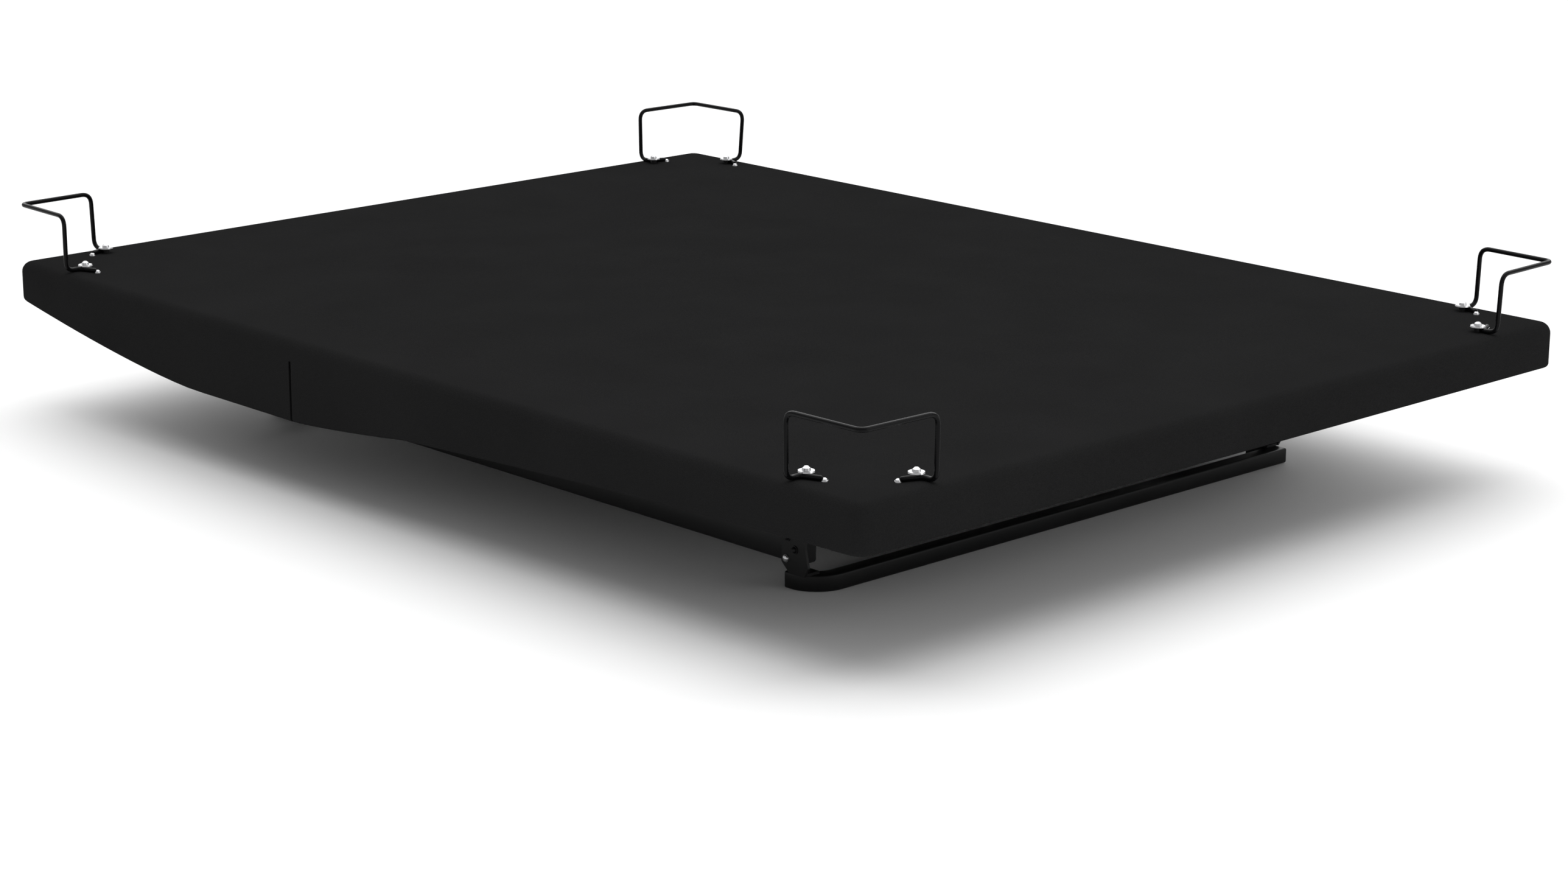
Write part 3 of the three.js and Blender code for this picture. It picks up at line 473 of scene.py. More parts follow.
def tube(name, points, radius, sides, finish):
    """A round wire along points, with domed ends."""
    points = [Vector(p) for p in points]
    directions = []
    for i in range(len(points)):
        before = points[max(i - 1, 0)]
        after = points[min(i + 1, len(points) - 1)]
        directions.append((after - before).normalized())
    across = directions[0].orthogonal().normalized()
    rings = []
    # Rings of each domed end, as shares of the radius: how wide, and how far past the end point.
    dome = [(0.25, -0.97), (0.7, -0.71), (0.95, -0.3)]

    def ring(centre, direction, size):
        second = direction.cross(across)
        return [
            centre + (across * math.cos(t) + second * math.sin(t)) * size
            for t in (2 * math.pi * k / sides for k in range(sides))
        ]

    for share, back in dome:
        rings.append(ring(points[0] + directions[0] * back * radius, directions[0], radius * share))
    for i, centre in enumerate(points):
        across = (across - directions[i] * across.dot(directions[i])).normalized()
        rings.append(ring(centre, directions[i], radius))
    for share, back in reversed(dome):
        rings.append(ring(points[-1] - directions[-1] * back * radius, directions[-1], radius * share))
    vertices, faces = swept(rings)
    return outward(new_piece(name, vertices, faces, finish, 60))


def rounded_path(points, bends, steps=8):
    """Straight runs through the points with each inner corner rounded off."""
    points = [Vector(p) for p in points]
    path = [points[0]]
    for corner, before, after, bend in zip(points[1:-1], points, points[2:], bends):
        back = corner + (before - corner).normalized() * bend
        ahead = corner + (after - corner).normalized() * bend
        for i in range(steps + 1):
            t = i / steps
            path.append(back * (1 - t) ** 2 + corner * 2 * t * (1 - t) + ahead * t ** 2)
    path.append(points[-1])
    return path


# ---- Deck outline ----
# How far in from the edge the foam starts to rise, and the length over which it rises.
CROWN_EDGE = 0.03
CROWN_RAMP = 0.35


def skirt_bottom(y):
    """Height of the skirt's lower edge: a belly at the head joint, then a taper in two stages."""
    from_head = HEAD_END - y
    to_joint = HEAD_END - HEAD_JOINT
    to_thigh = HEAD_END - THIGH_JOINT
    if from_head < SKIRT_BELLY_START:
        left = 1 - from_head / SKIRT_BELLY_START
        depth = SKIRT_BELLY - (SKIRT_BELLY - SKIRT_HEAD_END) * left ** 1.4
    elif from_head <= to_joint:
        depth = SKIRT_BELLY
    elif from_head <= to_thigh:
        past = (from_head - to_joint) / (to_thigh - to_joint)
        depth = SKIRT_BELLY - (SKIRT_BELLY - SKIRT_THIGH_JOINT) * past ** 1.3
    else:
        left = max(0.0, 1 - (from_head - to_thigh) / (HEAD_END - FOOT_END - to_thigh))
        depth = SKIRT_FOOT_END + (SKIRT_THIGH_JOINT - SKIRT_FOOT_END) * left ** 1.5
    return DECK_TOP - depth


def deck_rows(cover, low, high):
    """Distances along the deck where its mesh has a row, close together in the folds."""
    rows = {round(low, 5), round(high, 5)}
    marks = [low, high]
    for joint in (HEAD_JOINT, THIGH_JOINT, KNEE_JOINT):
        marks += [joint - cover.fold_reach, joint + cover.fold_reach]
    marks = sorted(m for m in set(marks + [MID_SEAT, MID_THIGH]) if low - 1e-6 <= m <= high + 1e-6)
    for a, b in zip(marks, marks[1:]):
        middle = (a + b) / 2
        folds = any(abs(middle - j) < cover.fold_reach for j in (HEAD_JOINT, THIGH_JOINT, KNEE_JOINT))
        rows.update(round(v, 5) for v in spaced(a, b, cover.fold_step if folds else cover.station_step))
    return sorted(rows)


def crown_height(cover, x, y):
    """Rise of the foam: nothing at the edges, smooth towards the middle, faintly uneven."""
    edge = min(HALF_WIDTH - abs(x), HEAD_END - y, y - FOOT_END)
    share = min(1.0, max(0.0, (edge - CROWN_EDGE) / CROWN_RAMP))
    swell = share * share * (3 - 2 * share)
    ripple = 0.15 * math.sin(9.1 * x + 1.3) * math.sin(7.3 * y + 0.4)
    return cover.crown * swell * (1 + ripple)


# ---- Pieces ----
CORNER_STEPS = 8
COLUMN_STEP = 0.05
SEAM_LIP = 0.0004


class BED_OT_deck_cover(bpy.types.Operator):
    """Padded cover over the deck, in three lengths, meshed closely at the joints"""
    bl_idname = "bed_base.deck_cover"
    bl_label = "Deck cover"

    def loop(self, cover, rows, columns):
        """The deck outline as (x, y, outward x, outward y), anticlockwise from the right side."""
        radius = cover.corner_radius
        x, y0, y1 = HALF_WIDTH, FOOT_END, HEAD_END
        points = [(x, y, 1.0, 0.0) for y in rows]
        points += self.corner(x - radius, y1 - radius, radius, 0)
        points += [(c, y1, 0.0, 1.0) for c in reversed(columns)]
        points += self.corner(-x + radius, y1 - radius, radius, 90)
        points += [(-x, y, -1.0, 0.0) for y in reversed(rows)]
        points += self.corner(-x + radius, y0 + radius, radius, 180)
        points += [(c, y0, 0.0, -1.0) for c in columns]
        points += self.corner(x - radius, y0 + radius, radius, 270)
        return points

    def corner(self, cx, cy, radius, start):
        inner = arc((0.0, 0.0), 1.0, start, start + 90, CORNER_STEPS)[1:-1]
        return [(cx + radius * c, cy + radius * s, c, s) for c, s in inner]

    def whole_cover(self, cover):
        """Vertices and faces of the whole cover: top, rounded edge, side, lip and underside."""
        radius = cover.corner_radius
        rows = deck_rows(cover, FOOT_END + radius, HEAD_END - radius)
        half_seam = cover.seam_width / 2
        for offset in (-half_seam - SEAM_LIP, -half_seam, half_seam, half_seam + SEAM_LIP):
            rows.append(round(HEAD_JOINT + offset, 5))
        rows = sorted(set(rows))
        columns = [round(c, 5) for c in spaced(-HALF_WIDTH + radius, HALF_WIDTH - radius, COLUMN_STEP)]
        loop = self.loop(cover, rows, columns)
        lip_top = DECK_TOP - cover.seam_top
        edge = cover.edge_radius
        levels = [
            (cover.lip_gap, PAD_BOTTOM), (cover.lip_gap, HINGE_HEIGHT), (cover.skin, HINGE_HEIGHT),
            (cover.skin, lip_top + 0.001),
        ]
        levels += [
            (cover.skin - edge + u, DECK_TOP - edge + v)
            for u, v in arc((0.0, 0.0), edge, 0, 90, CORNER_STEPS)
        ]
        rings = []
        for offset, height in levels:
            ring = []
            for x, y, nx, ny in loop:
                z = height
                in_seam = nx and not ny and abs(y - HEAD_JOINT) <= half_seam + 1e-5
                if height == HINGE_HEIGHT and in_seam:
                    z = lip_top
                ring.append((x + nx * offset, y + ny * offset, z))
            rings.append(ring)
        vertices, faces = walls(rings)
        top = len(vertices) - len(loop)
        self.fill(cover, vertices, faces, loop, rows, columns, top, DECK_TOP, False)
        self.fill(cover, vertices, faces, loop, rows, columns, 0, PAD_BOTTOM, True)
        return vertices, faces

    def fill(self, cover, vertices, faces, loop, rows, columns, base, height, under):
        """Closes a ring with a grid of the deck's rows and columns."""
        grid = {}
        for i, x in enumerate(columns):
            for j, y in enumerate(rows):
                grid[i, j] = len(vertices)
                rise = 0.0 if under else crown_height(cover, x, y)
                vertices.append((x, y, height + rise))
        wide, long = len(columns), len(rows)

        def face(*corners):
            faces.append(tuple(reversed(corners)) if under else corners)

        for i in range(wide - 1):
            for j in range(long - 1):
                face(grid[i, j], grid[i + 1, j], grid[i + 1, j + 1], grid[i, j + 1])
        arc_points = CORNER_STEPS - 1
        right = base
        head = right + long + arc_points
        left = head + wide + arc_points
        foot = left + long + arc_points
        size = len(loop)
        for j in range(long - 1):
            face(grid[wide - 1, j], right + j, right + j + 1, grid[wide - 1, j + 1])
            face(grid[0, long - 1 - j], left + j, left + j + 1, grid[0, long - 2 - j])
        for i in range(wide - 1):
            face(grid[wide - 1 - i, long - 1], head + i, head + i + 1, grid[wide - 2 - i, long - 1])
            face(grid[i, 0], foot + i, foot + i + 1, grid[i + 1, 0])
        corners = (
            (grid[wide - 1, long - 1], right + long - 1), (grid[0, long - 1], head + wide - 1),
            (grid[0, 0], left + long - 1), (grid[wide - 1, 0], foot + wide - 1),
        )
        for middle, first in corners:
            for k in range(arc_points + 1):
                a = base + (first - base + k) % size
                b = base + (first - base + k + 1) % size
                face(middle, a, b)

    def cut(self, name, vertices, faces, low, high):
        """The length of the cover from low to high, closed where it is cut."""
        piece = new_piece(name, vertices, faces, "fabric", 50)
        bm = bmesh.new()
        bm.from_mesh(piece.data)
        for at, way in ((low, -1), (high, 1)):
            if FOOT_END + 0.01 < at < HEAD_END - 0.01:
                bmesh.ops.bisect_plane(
                    bm, geom=bm.verts[:] + bm.edges[:] + bm.faces[:], dist=1e-6,
                    plane_co=(0, at, 0), plane_no=(0, way, 0), clear_outer=True,
                )
                rim = [e for e in bm.edges if e.is_boundary]
                bmesh.ops.triangle_fill(bm, use_beauty=True, use_dissolve=False, edges=rim)
        bmesh.ops.recalc_face_normals(bm, faces=bm.faces)
        bm.to_mesh(piece.data)
        bm.free()
        smooth(piece.data, 50)
        return piece

    def execute(self, context):
        cover = context.scene.bed_cover
        vertices, faces = self.whole_cover(cover)
        lengths = (
            ("deck_cover_head", MID_SEAT, HEAD_END, "root", "head", HEAD_JOINT, 1, ("head_pad",)),
            ("deck_cover_seat", MID_THIGH, MID_SEAT, "root", "thigh", THIGH_JOINT, -1, ("seat_pad",)),
            ("deck_cover_foot", FOOT_END, MID_THIGH, "thigh", "calf", KNEE_JOINT, -1,
             ("thigh_pad", "calf_pad")),
        )
        for name, low, high, first, second, joint, way, nodes in lengths:
            piece = self.cut(name, vertices, faces, low, high)
            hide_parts(*nodes)
            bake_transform(piece)
        return {"FINISHED"}


HEM_DROP = 0.0008
INNER_HEM = 0.004
BOARD_GAP = 0.0002
SLANT_REACH = 0.004


class BED_OT_skirts(bpy.types.Operator):
    """Fabric-wrapped side and end boards under the deck's edge"""
    bl_idname = "bed_base.skirts"
    bl_label = "Skirts"

    def path(self, cover, low, high, side):
        """Outline points of a straight side, or round an end when side is 0."""
        radius = cover.corner_radius
        if side:
            return [(side * HALF_WIDTH, y, side, 0.0) for y in deck_rows(cover, low, high)]
        head = abs(high - HEAD_END) < 1e-6
        way = 1 if head else -1
        end = HEAD_END if head else FOOT_END
        inner = low if head else high
        ys = deck_rows(cover, min(inner, end - way * radius), max(inner, end - way * radius))
        if not head:
            ys = ys[::-1]
        points = [(HALF_WIDTH, y, 1.0, 0.0) for y in ys]
        corner = arc((0, 0), 1.0, 0, 90 * way, CORNER_STEPS)[1:-1]
        points += [
            (HALF_WIDTH - radius + radius * c, end - way * radius + radius * s, c, s) for c, s in corner
        ]
        points += [
            (x, end, 0.0, float(way))
            for x in spaced(HALF_WIDTH - radius, -HALF_WIDTH + radius, 2 * COLUMN_STEP)
        ]
        points += [(-x, y, -nx, ny) for x, y, nx, ny in reversed(points[: len(ys) + len(corner)])]
        return points

    def section(self, cover, y):
        """A skirt's cross-section as (outward, height), its hem rounded."""
        bottom = skirt_bottom(y) - HEM_DROP
        hem = cover.hem_radius
        outside, inside = cover.skin, -SIDE_BOARD
        shape = [(outside, HINGE_HEIGHT)]
        shape += [(outside - hem + u, bottom + hem + v) for u, v in arc((0, 0), hem, 0, -90, 5)]
        shape += [
            (inside + INNER_HEM + u, bottom + INNER_HEM + v)
            for u, v in arc((0, 0), INNER_HEM, -90, -180, 3)
        ]
        shape += [(inside, UNDER_BOARD), (-BOARD_GAP, UNDER_BOARD), (-BOARD_GAP, HINGE_HEIGHT)]
        return shape

    def skirt(self, cover, name, low, high, side, joint_ends):
        rings = []
        for x, y, nx, ny in self.path(cover, low, high, side):
            ring = []
            for out, z in self.section(cover, y):
                back = 0.0
                for joint, way in joint_ends:
                    if abs(y - joint) < SLANT_REACH and z > HINGE_HEIGHT:
                        back = way * (z - HINGE_HEIGHT) * HALF_ROOM
                ring.append((x + nx * out, y + ny * out + back, z))
            rings.append(ring)
        vertices, faces = swept(rings)
        piece = outward(new_piece(name, vertices, faces, "fabric", 50))
        return piece

    def execute(self, context):
        cover = context.scene.bed_cover
        gap = cover.seam_width / 2
        head = self.skirt(cover, "skirt_head", HEAD_JOINT + gap, HEAD_END, 0, [(HEAD_JOINT, 1)])
        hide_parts("head_side_board_left", "head_side_board_right", "head_end_board")
        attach(head, "head")
        for label, side in (("left", -1), ("right", 1)):
            seat = self.skirt(
                cover, f"skirt_seat_{label}", MID_THIGH, HEAD_JOINT - gap, side, [(HEAD_JOINT, -1)],
            )
            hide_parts(f"seat_side_board_{label}", f"thigh_side_board_{label}")
            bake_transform(seat)
        foot = self.skirt(cover, "skirt_foot", FOOT_END, MID_THIGH, 0, [])
        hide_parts("calf_side_board_left", "calf_side_board_right", "calf_end_board")
        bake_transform(foot)
        return {"FINISHED"}


# The rails' corners against the end bars'.
RAIL_ROUNDING = 1.2


class BED_OT_frame_tubes(bpy.types.Operator):
    """End bars and side rails of the base frame, with rounded tube edges"""
    bl_idname = "bed_base.frame_tubes"
    bl_label = "Frame tubes"

    def section(self, width, height, radius):
        """A tube's outline as (sideways, height) about its middle."""
        x, z = width / 2 - radius, height / 2 - radius
        points = []
        for cx, cz, start in ((x, z, 0), (-x, z, 90), (-x, -z, 180), (x, -z, 270)):
            points += arc((cx, cz), radius, start, start + 90, 3)
        return points

    def along(self, name, path, section, middle, finish="steel"):
        """Runs a section along a flat path, mitred at its corners."""
        rings = []
        for i, (x, y) in enumerate(path):
            here = Vector((x, y))
            before = (here - Vector(path[i - 1])).normalized() if i else None
            after = (Vector(path[i + 1]) - here).normalized() if i + 1 < len(path) else None
            first, second = before or after, after or before
            way = (first + second).normalized()
            stretch = 1 / max(0.5, way.dot(first))
            normal = Vector((way.y, -way.x)) * stretch
            rings.append([(x + normal.x * u, y + normal.y * u, middle + z) for u, z in section])
        vertices, faces = swept(rings)
        piece = outward(new_piece(name, vertices, faces, finish, 35))
        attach(piece, "root")
        return piece

    def execute(self, context):
        settings = context.scene.bed_frame
        size = settings.bar_size
        section = self.section(size, size, settings.bar_corner)
        for name, way in (("foot", 1), ("head", -1)):
            low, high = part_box(f"{name}_end_bar")
            inset = size / 2
            face = (low[1] if way > 0 else high[1]) + way * inset
            tip = high[1] if way > 0 else low[1]
            left, right = low[0] + inset, high[0] - inset
            if way < 0:
                left, right = right, left
            radius = settings.bend_radius - inset
            turn = -1 if left < 0 else 1
            bend = [
                (left - turn * radius * (1 - math.cos(t)), face + way * radius * (1 - math.sin(t)))
                for t in (math.pi / 2 * k / 10 for k in range(11))
            ]
            path = [(left, tip)] + bend + [(right, face), (right, tip)]
            bar = self.along(f"end_bar_{name}", path, section, size / 2)
            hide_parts(f"{name}_end_bar")
        for label in ("left", "right"):
            low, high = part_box(f"base_rail_{label}")
            middle = ((low[0] + high[0]) / 2, (low[2] + high[2]) / 2)
            width, height = high[0] - low[0], high[2] - low[2]
            outline = self.section(width, height, settings.bar_corner * RAIL_ROUNDING)
            path = [(middle[0], low[1]), (middle[0], high[1])]
            rail = self.along(f"rail_{label}", path, outline, middle[1])
            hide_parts(f"base_rail_{label}")
        return {"FINISHED"}


# Places on a retainer, as (from the edge it stands by, along that edge from the corner).
WIRE_TOP = (0.005, 0.145)
WIRE_CORNER = (0.009, 0.009)
WIRE_GAP = 0.0003
LEG_INSET = 0.008
LEG_ALONG = 0.146
LEG_ALONG_AWAY = 0.140
# The rest of a foot, as (from the edge, past the leg the way the foot turns).
FOOT_PLACES = {
    "turn": (0.034, -0.002), "tip": (0.045, 0.026), "bolt": (0.044, 0.0005), "screw": (0.0485, 0.030),
}
# How far from each corner of the wire its rounding starts, from foot to foot.
WIRE_BENDS = (0.010, 0.015, 0.018, 0.012, 0.018, 0.015, 0.010)


def corner_place(side_x, side_y, edge, place, z):
    inset, along = place
    from_x, from_y = (inset, along) if edge == "side" else (along, inset)
    end = HEAD_END if side_y > 0 else -FOOT_END
    return Vector((side_x * (HALF_WIDTH - from_x), side_y * (end - from_y), z))


def retainer_feet(side_y):
    """Both feet of a retainer, each with its edge and the places along its wire and fixings."""
    feet = []
    for edge in ("side", "end"):
        away = edge == "side" and side_y > 0
        along = LEG_ALONG_AWAY if away else LEG_ALONG
        turn = 1 if away else -1
        foot = {"edge": edge, "leg": (LEG_INSET, along)}
        for key, (inset, past) in FOOT_PLACES.items():
            foot[key] = (inset, along + turn * past)
        feet.append(foot)
    return feet


class BED_OT_retainers(bpy.types.Operator):
    """Bent wire mattress retainers on the deck's corners"""
    bl_idname = "bed_base.retainers"
    bl_label = "Retainers"

    def execute(self, context):
        settings = context.scene.bed_retainer
        low = DECK_TOP + WIRE_GAP + settings.wire_radius
        high = DECK_TOP + settings.height
        for end, side_y, body in (("head", 1, "head"), ("foot", -1, "calf")):
            for label, side_x in (("left", -1), ("right", 1)):
                side_foot, end_foot = retainer_feet(side_y)

                def at(edge, place, z):
                    return corner_place(side_x, side_y, edge, place, z)

                points = [at("side", side_foot[key], low) for key in ("tip", "turn", "leg")]
                points += [
                    at("side", WIRE_TOP, high), at("side", WIRE_CORNER, high),
                    at("end", WIRE_TOP, high),
                ]
                points += [at("end", end_foot[key], low) for key in ("leg", "turn", "tip")]
                path = rounded_path(points, WIRE_BENDS)
                wire = tube(f"retainer_{end}_{label}", path, settings.wire_radius, 16, "wire")
                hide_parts(f"{end}_retainer_{label}")
                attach(wire, body)
        return {"FINISHED"}


# ---- Fasteners ----
FASTENER_SIZES = ("Washer Radius", "Washer Height", "Head Radius", "Head Height")
# Each kind's sizes, in that order.
RETAINER_SCREW = (0.005, 0.0015, 0.004, 0.003)
BRACKET_BOLT = (0.0058, 0.002, 0.0052, 0.003)
BRACKET_STUD = (0.0065, 0.0012, 0.0048, 0.004)
LEAF_SCREW = (0.0045, 0.0006, 0.0038, 0.0018)
BOLT_WASHER_HEIGHT = 0.002
BOLT_HEAD_HEIGHT = 0.0055
SPACER_RADIUS = 0.006
WIRE_ROOM = 0.0005
UPRIGHT = (0, 0, 0)
UPSIDE_DOWN = (math.pi, 0, 0)
# Places on a corner bracket, as (from its edge nearest the bed's middle, height).
BOLT_PLACE = (0.0105, 0.0465)
STUD_PLACES = ((0.027, 0.062), (0.012, 0.078))
# Screws along a hinge leaf: how far from the joint, how deep, and how far from the middle.
LEAF_SCREW_REACH = 0.042
LEAF_THICKNESS = 0.004
LEAF_SCREWS_AT = (-0.58, -0.4, -0.2, 0.0, 0.2, 0.4, 0.58)


def fastener_tree():
    """Geometry nodes that set a washer and a two-step domed head on every point."""
    tree = bpy.data.node_groups.new("fasteners", "GeometryNodeTree")
    face = tree.interface
    face.new_socket("Geometry", in_out="INPUT", socket_type="NodeSocketGeometry")
    for label in FASTENER_SIZES:
        face.new_socket(label, in_out="INPUT", socket_type="NodeSocketFloat")
    face.new_socket("Turn", in_out="INPUT", socket_type="NodeSocketVector")
    face.new_socket("Material", in_out="INPUT", socket_type="NodeSocketMaterial")
    face.new_socket("Geometry", in_out="OUTPUT", socket_type="NodeSocketGeometry")
    n = Nodes(tree)
    start = n.add("NodeGroupInput")
    sizes = start.outputs

    def cone(low_radius, high_radius, depth, lift):
        node = n.add("GeometryNodeMeshCone")
        node.inputs["Vertices"].default_value = 20
        values = {"Radius Bottom": low_radius, "Radius Top": high_radius, "Depth": depth}
        for label, value in values.items():
            n.feed(node.inputs[label], value)
        move = n.add("GeometryNodeTransform")
        offset = n.add("ShaderNodeCombineXYZ")
        n.feed(offset.inputs["Z"], lift)
        n.join(offset.outputs[0], move.inputs["Translation"])
        n.join(node.outputs["Mesh"], move.inputs["Geometry"])
        return move.outputs["Geometry"]

    washer = cone(sizes["Washer Radius"], n.math("MULTIPLY", sizes["Washer Radius"], 0.94),
                  sizes["Washer Height"], 0.0)
    lower = n.math("MULTIPLY", sizes["Head Height"], 0.6)
    upper = n.math("MULTIPLY", sizes["Head Height"], 0.4)
    waist = n.math("MULTIPLY", sizes["Head Radius"], 0.86)
    base = cone(sizes["Head Radius"], waist, lower, sizes["Washer Height"])
    cap = cone(waist, n.math("MULTIPLY", sizes["Head Radius"], 0.45), upper,
               n.math("ADD", sizes["Washer Height"], lower))
    join = n.add("GeometryNodeJoinGeometry")
    for part in (washer, base, cap):
        n.join(part, join.inputs[0])
    place = n.add("GeometryNodeInstanceOnPoints")
    n.join(sizes["Geometry"], place.inputs["Points"])
    n.join(join.outputs[0], place.inputs["Instance"])
    n.join(sizes["Turn"], place.inputs["Rotation"])
    real = n.add("GeometryNodeRealizeInstances")
    n.join(place.outputs[0], real.inputs[0])
    paint = n.add("GeometryNodeSetMaterial")
    n.join(real.outputs[0], paint.inputs["Geometry"])
    n.join(sizes["Material"], paint.inputs["Material"])
    finish = n.add("NodeGroupOutput")
    n.join(paint.outputs[0], finish.inputs[0])
    return tree


def set_fasteners(name, body, points, finish, turn, values):
    """One mesh of like fasteners, standing on points and turned from +Z by turn."""
    tree = group("fasteners")
    holder_mesh = bpy.data.meshes.new(f"{name}_points")
    holder_mesh.from_pydata([tuple(p) for p in points], [], [])
    holder = placed(f"{name}_points", holder_mesh)
    modifier = holder.modifiers.new("fasteners", "NODES")
    modifier.node_group = tree
    named = {item.name: item.identifier for item in tree.interface.items_tree if item.in_out == "INPUT"}
    for label, value in zip(FASTENER_SIZES, values):
        modifier[named[label]] = value
    modifier[named["Turn"]] = turn
    modifier[named["Material"]] = material(finish)
    bpy.context.view_layer.update()
    graph = bpy.context.evaluated_depsgraph_get()
    mesh = bpy.data.meshes.new_from_object(holder.evaluated_get(graph))
    holder.modifiers.remove(modifier)
    bpy.data.objects.remove(holder)
    mesh.name = name
    if not mesh.polygons:
        raise RuntimeError(f"{name} came out empty")
    piece = placed(name, mesh)
    smooth(mesh, 35)
    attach(piece, body)
    return piece


class BED_OT_fasteners(bpy.types.Operator):
    """Bolts and screws of the retainers, frame corners and hinge leaves"""
    bl_idname = "bed_base.fasteners"
    bl_label = "Fasteners"

    def retainer_fixings(self, settings):
        for end, side_y, body in (("head", 1, "head"), ("foot", -1, "calf")):
            bolts, screws = [], []
            for side_x in (-1, 1):
                for foot in retainer_feet(side_y):
                    for key, places in (("bolt", bolts), ("screw", screws)):
                        places.append(corner_place(side_x, side_y, foot["edge"], foot[key], DECK_TOP))
            over_wire = 2 * settings.wire_radius + WIRE_ROOM
            raised = [bolt + Vector((0, 0, over_wire)) for bolt in bolts]
            spacer = (SPACER_RADIUS, over_wire, 0.004, 0.001)
            bolt_sizes = (
                settings.washer_radius, BOLT_WASHER_HEIGHT, settings.dome_radius, BOLT_HEAD_HEIGHT,
            )
            name = f"{end}_retainer"
            set_fasteners(f"{name}_spacers", body, bolts, "steel", UPRIGHT, spacer)
            set_fasteners(f"{name}_bolts", body, raised, "zinc", UPRIGHT, bolt_sizes)
            set_fasteners(f"{name}_screws", body, screws, "zinc", UPRIGHT, RETAINER_SCREW)

    def bracket_bolts(self):
        for label, side in (("left", -1), ("right", 1)):
            bright, dark = [], []
            for end, way in (("foot", 1), ("head", -1)):
                low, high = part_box(f"corner_bracket_{end}_{label}")
                x = low[0] if side < 0 else high[0]
                y = high[1] if way > 0 else low[1]
                bright.append((x, y - way * BOLT_PLACE[0], BOLT_PLACE[1]))
                dark += [(x, y - way * back, height) for back, height in STUD_PLACES]
            turn = (0, side * math.pi / 2, 0)
            set_fasteners(f"bracket_bolts_{label}", "root", bright, "zinc", turn, BRACKET_BOLT)
            set_fasteners(f"bracket_studs_{label}", "root", dark, "steel", turn, BRACKET_STUD)

    def leaf_screws(self):
        """Screws up through each hinge leaf, on the side of the joint where it lies."""
        leaves = (
            ("seat_hinge_leaf_head", "root", HEAD_JOINT, -1),
            ("seat_hinge_leaf_thigh", "root", THIGH_JOINT, 1),
            ("head_hinge_leaf", "head", HEAD_JOINT, 1),
            ("thigh_hinge_leaf", "thigh", THIGH_JOINT, -1),
            ("knee_hinge_leaf", "thigh", KNEE_JOINT, 1),
            ("calf_hinge_leaf", "calf", KNEE_JOINT, -1),
        )
        for leaf, body, joint, way in leaves:
            y = joint + way * LEAF_SCREW_REACH
            points = [(x, y, UNDER_BOARD - LEAF_THICKNESS) for x in LEAF_SCREWS_AT]
            set_fasteners(f"{leaf}_screws", body, points, "zinc", UPSIDE_DOWN, LEAF_SCREW)

    def execute(self, context):
        self.retainer_fixings(context.scene.bed_retainer)
        self.bracket_bolts()
        self.leaf_screws()
        return {"FINISHED"}


class BED_OT_mechanism(bpy.types.Operator):
    """Finishes for the boards, hinges, lift frames, motors and links that come from the CAD"""
    bl_idname = "bed_base.mechanism"
    bl_label = "Mechanism finishes"

    def execute(self, context):
        slots = {item["node"]: item["material_slot"] for item in frame["record"]["subparts"]}
        for name, node in frame["nodes"].items():
            finish = slots[name]
            if not node.material_slots:
                node.data.materials.append(material(finish))
            for slot in node.material_slots:
                slot.link = "OBJECT"
                slot.material = material(finish)
        return {"FINISHED"}


FLOOR_REACH = 40.0
CAMERA_PLACE = (-3.7404, -4.0015, 1.4741)
CAMERA_TURN = {"heading": 46.51, "pitch": 15.082, "roll": 0.222}
CAMERA_LENS = 79.68
SENSOR_WIDTH = 36.0
SUN_WAY = (-0.42, -0.42, -1.0)
SUN_POWER = 3.0
SUN_ANGLE = 100
SKY_POWER = 0.50


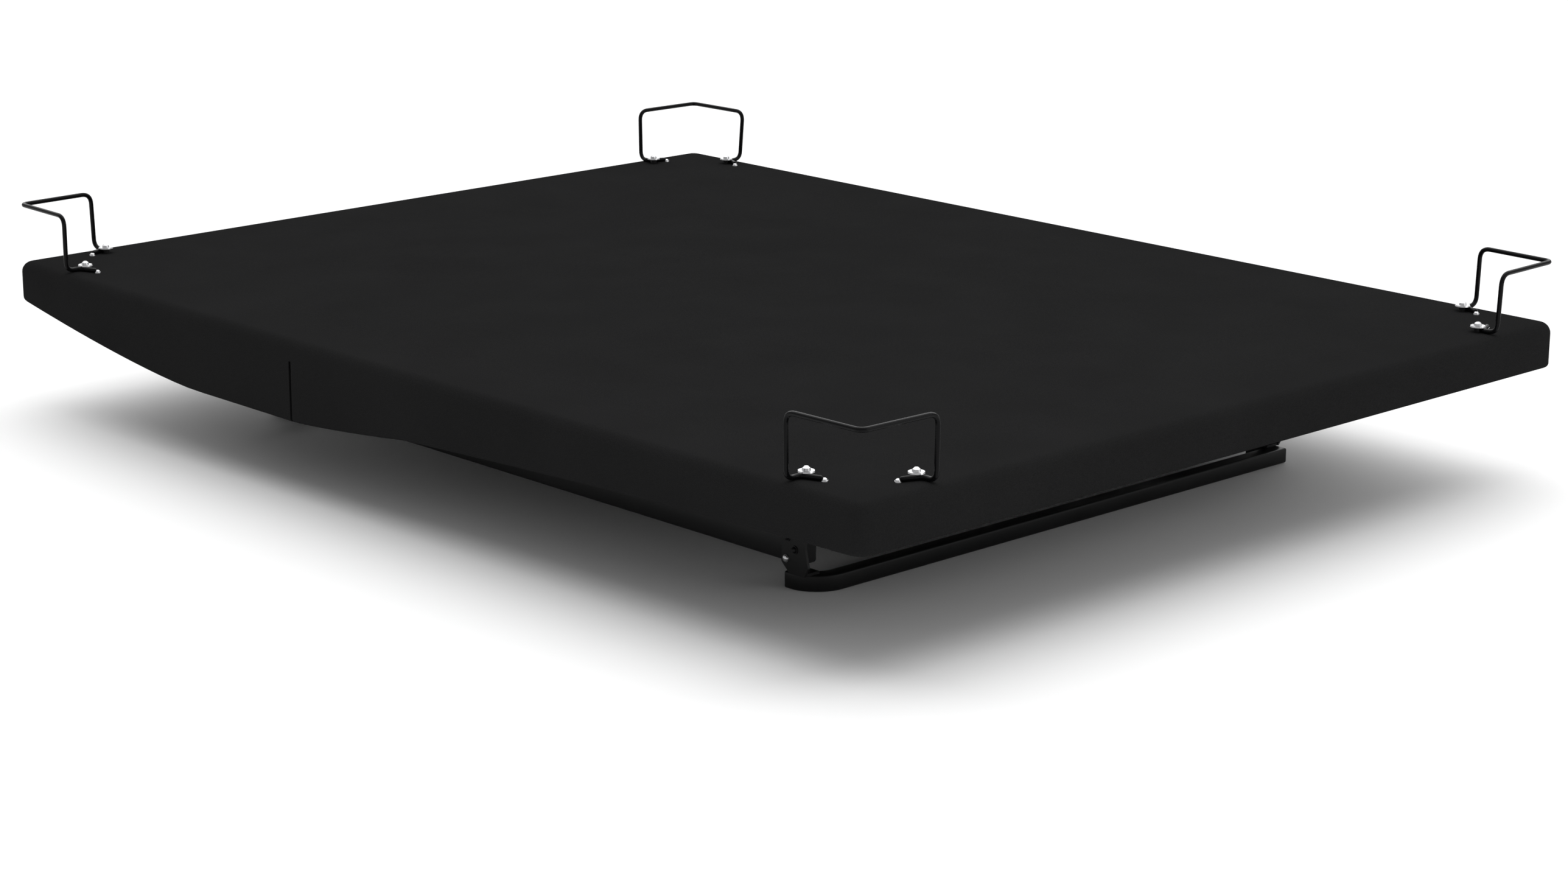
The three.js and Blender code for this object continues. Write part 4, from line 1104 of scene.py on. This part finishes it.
class BED_OT_stage(bpy.types.Operator):
    """Pale floor, soft light and the camera"""
    bl_idname = "bed_base.stage"
    bl_label = "Stage"

    def floor(self):
        mesh = bpy.data.meshes.new("floor")
        corners = ((-1, -1), (1, -1), (1, 1), (-1, 1))
        points = [(x * FLOOR_REACH, y * FLOOR_REACH, 0) for x, y in corners]
        mesh.from_pydata(points, [], [(0, 1, 2, 3)])
        paint = bpy.data.materials.new("floor")
        paint.use_nodes = True
        shader = paint.node_tree.nodes["Principled BSDF"]
        shader.inputs["Base Color"].default_value = (0.92, 0.92, 0.92, 1)
        shader.inputs["Roughness"].default_value = 0.9
        shader.inputs["Specular IOR Level"].default_value = 0.1
        mesh.materials.append(paint)
        floor = placed("floor", mesh)

    def light(self, name, size, power, place, target):
        data = bpy.data.lights.new(name, "AREA")
        data.shape = "RECTANGLE"
        data.size, data.size_y = size
        data.energy = power
        lamp = placed(name, data)
        lamp.location = place
        aim = Vector(target) - Vector(place)
        lamp.rotation_euler = aim.to_track_quat("-Z", "Y").to_euler()

    def execute(self, context):
        scene = context.scene
        self.floor()
        world = bpy.data.worlds.new("studio")
        world.use_nodes = True
        background = world.node_tree.nodes["Background"]
        background.inputs["Color"].default_value = (1, 1, 1, 1)
        background.inputs["Strength"].default_value = SKY_POWER
        scene.world = world
        data = bpy.data.lights.new("overhead", "SUN")
        data.energy = SUN_POWER
        data.angle = math.radians(SUN_ANGLE)
        sun = placed("overhead", data)
        sun.rotation_euler = Vector(SUN_WAY).to_track_quat("-Z", "Y").to_euler()
        self.light("foot_fill", (3.0, 2.0), 30.0, (1.6, -4.6, 1.9), (0.2, -0.6, 0.2))
        data = bpy.data.cameras.new("camera")
        data.sensor_width = SENSOR_WIDTH
        data.lens = CAMERA_LENS
        data.clip_end = 200.0
        camera = placed("camera", data)
        heading, pitch, roll = (math.radians(v) for v in CAMERA_TURN.values())
        forward = Vector((
            math.cos(heading) * math.cos(pitch), math.sin(heading) * math.cos(pitch), -math.sin(pitch),
        ))
        level = Vector((math.sin(heading), -math.cos(heading), 0))
        upright = level.cross(forward)
        right = level * math.cos(roll) + upright * math.sin(roll)
        up = upright * math.cos(roll) - level * math.sin(roll)
        matrix = Matrix((right, up, -forward)).transposed().to_4x4()
        matrix.translation = CAMERA_PLACE
        camera.matrix_world = matrix
        scene.camera = camera
        scene.view_settings.view_transform = "Standard"
        return {"FINISHED"}


class BED_PT_panel(bpy.types.Panel):
    """Lists the pieces of the bed base and their settings"""
    bl_idname = "BED_PT_panel"
    bl_label = "Bed Base"
    bl_space_type = "VIEW_3D"
    bl_region_type = "UI"
    bl_category = "Bed Base"

    def draw(self, context):
        for group_name in SETTINGS:
            box = self.layout.box()
            settings = getattr(context.scene, group_name)
            for key in settings.__annotations__:
                box.prop(settings, key)
        for operator in OPERATORS:
            self.layout.operator(operator.bl_idname)


SETTINGS = {
    "bed_cover": BedCoverSettings,
    "bed_frame": BedFrameSettings,
    "bed_retainer": BedRetainerSettings,
    "bed_finish": BedFinishSettings,
}
OPERATORS = (
    BED_OT_stage, BED_OT_deck_cover, BED_OT_skirts, BED_OT_frame_tubes, BED_OT_retainers,
    BED_OT_fasteners, BED_OT_mechanism,
)
CLASSES = (*SETTINGS.values(), *OPERATORS, BED_PT_panel)


def register():
    for item in CLASSES:
        bpy.utils.register_class(item)
    for name, item in SETTINGS.items():
        setattr(bpy.types.Scene, name, bpy.props.PointerProperty(type=item))


def unregister():
    for name in SETTINGS:
        delattr(bpy.types.Scene, name)
    for item in reversed(CLASSES):
        bpy.utils.unregister_class(item)


def main():
    register()
    for operator in OPERATORS:
        module, name = operator.bl_idname.split(".")
        getattr(getattr(bpy.ops, module), name)()


if __name__ == "__main__":
    main()
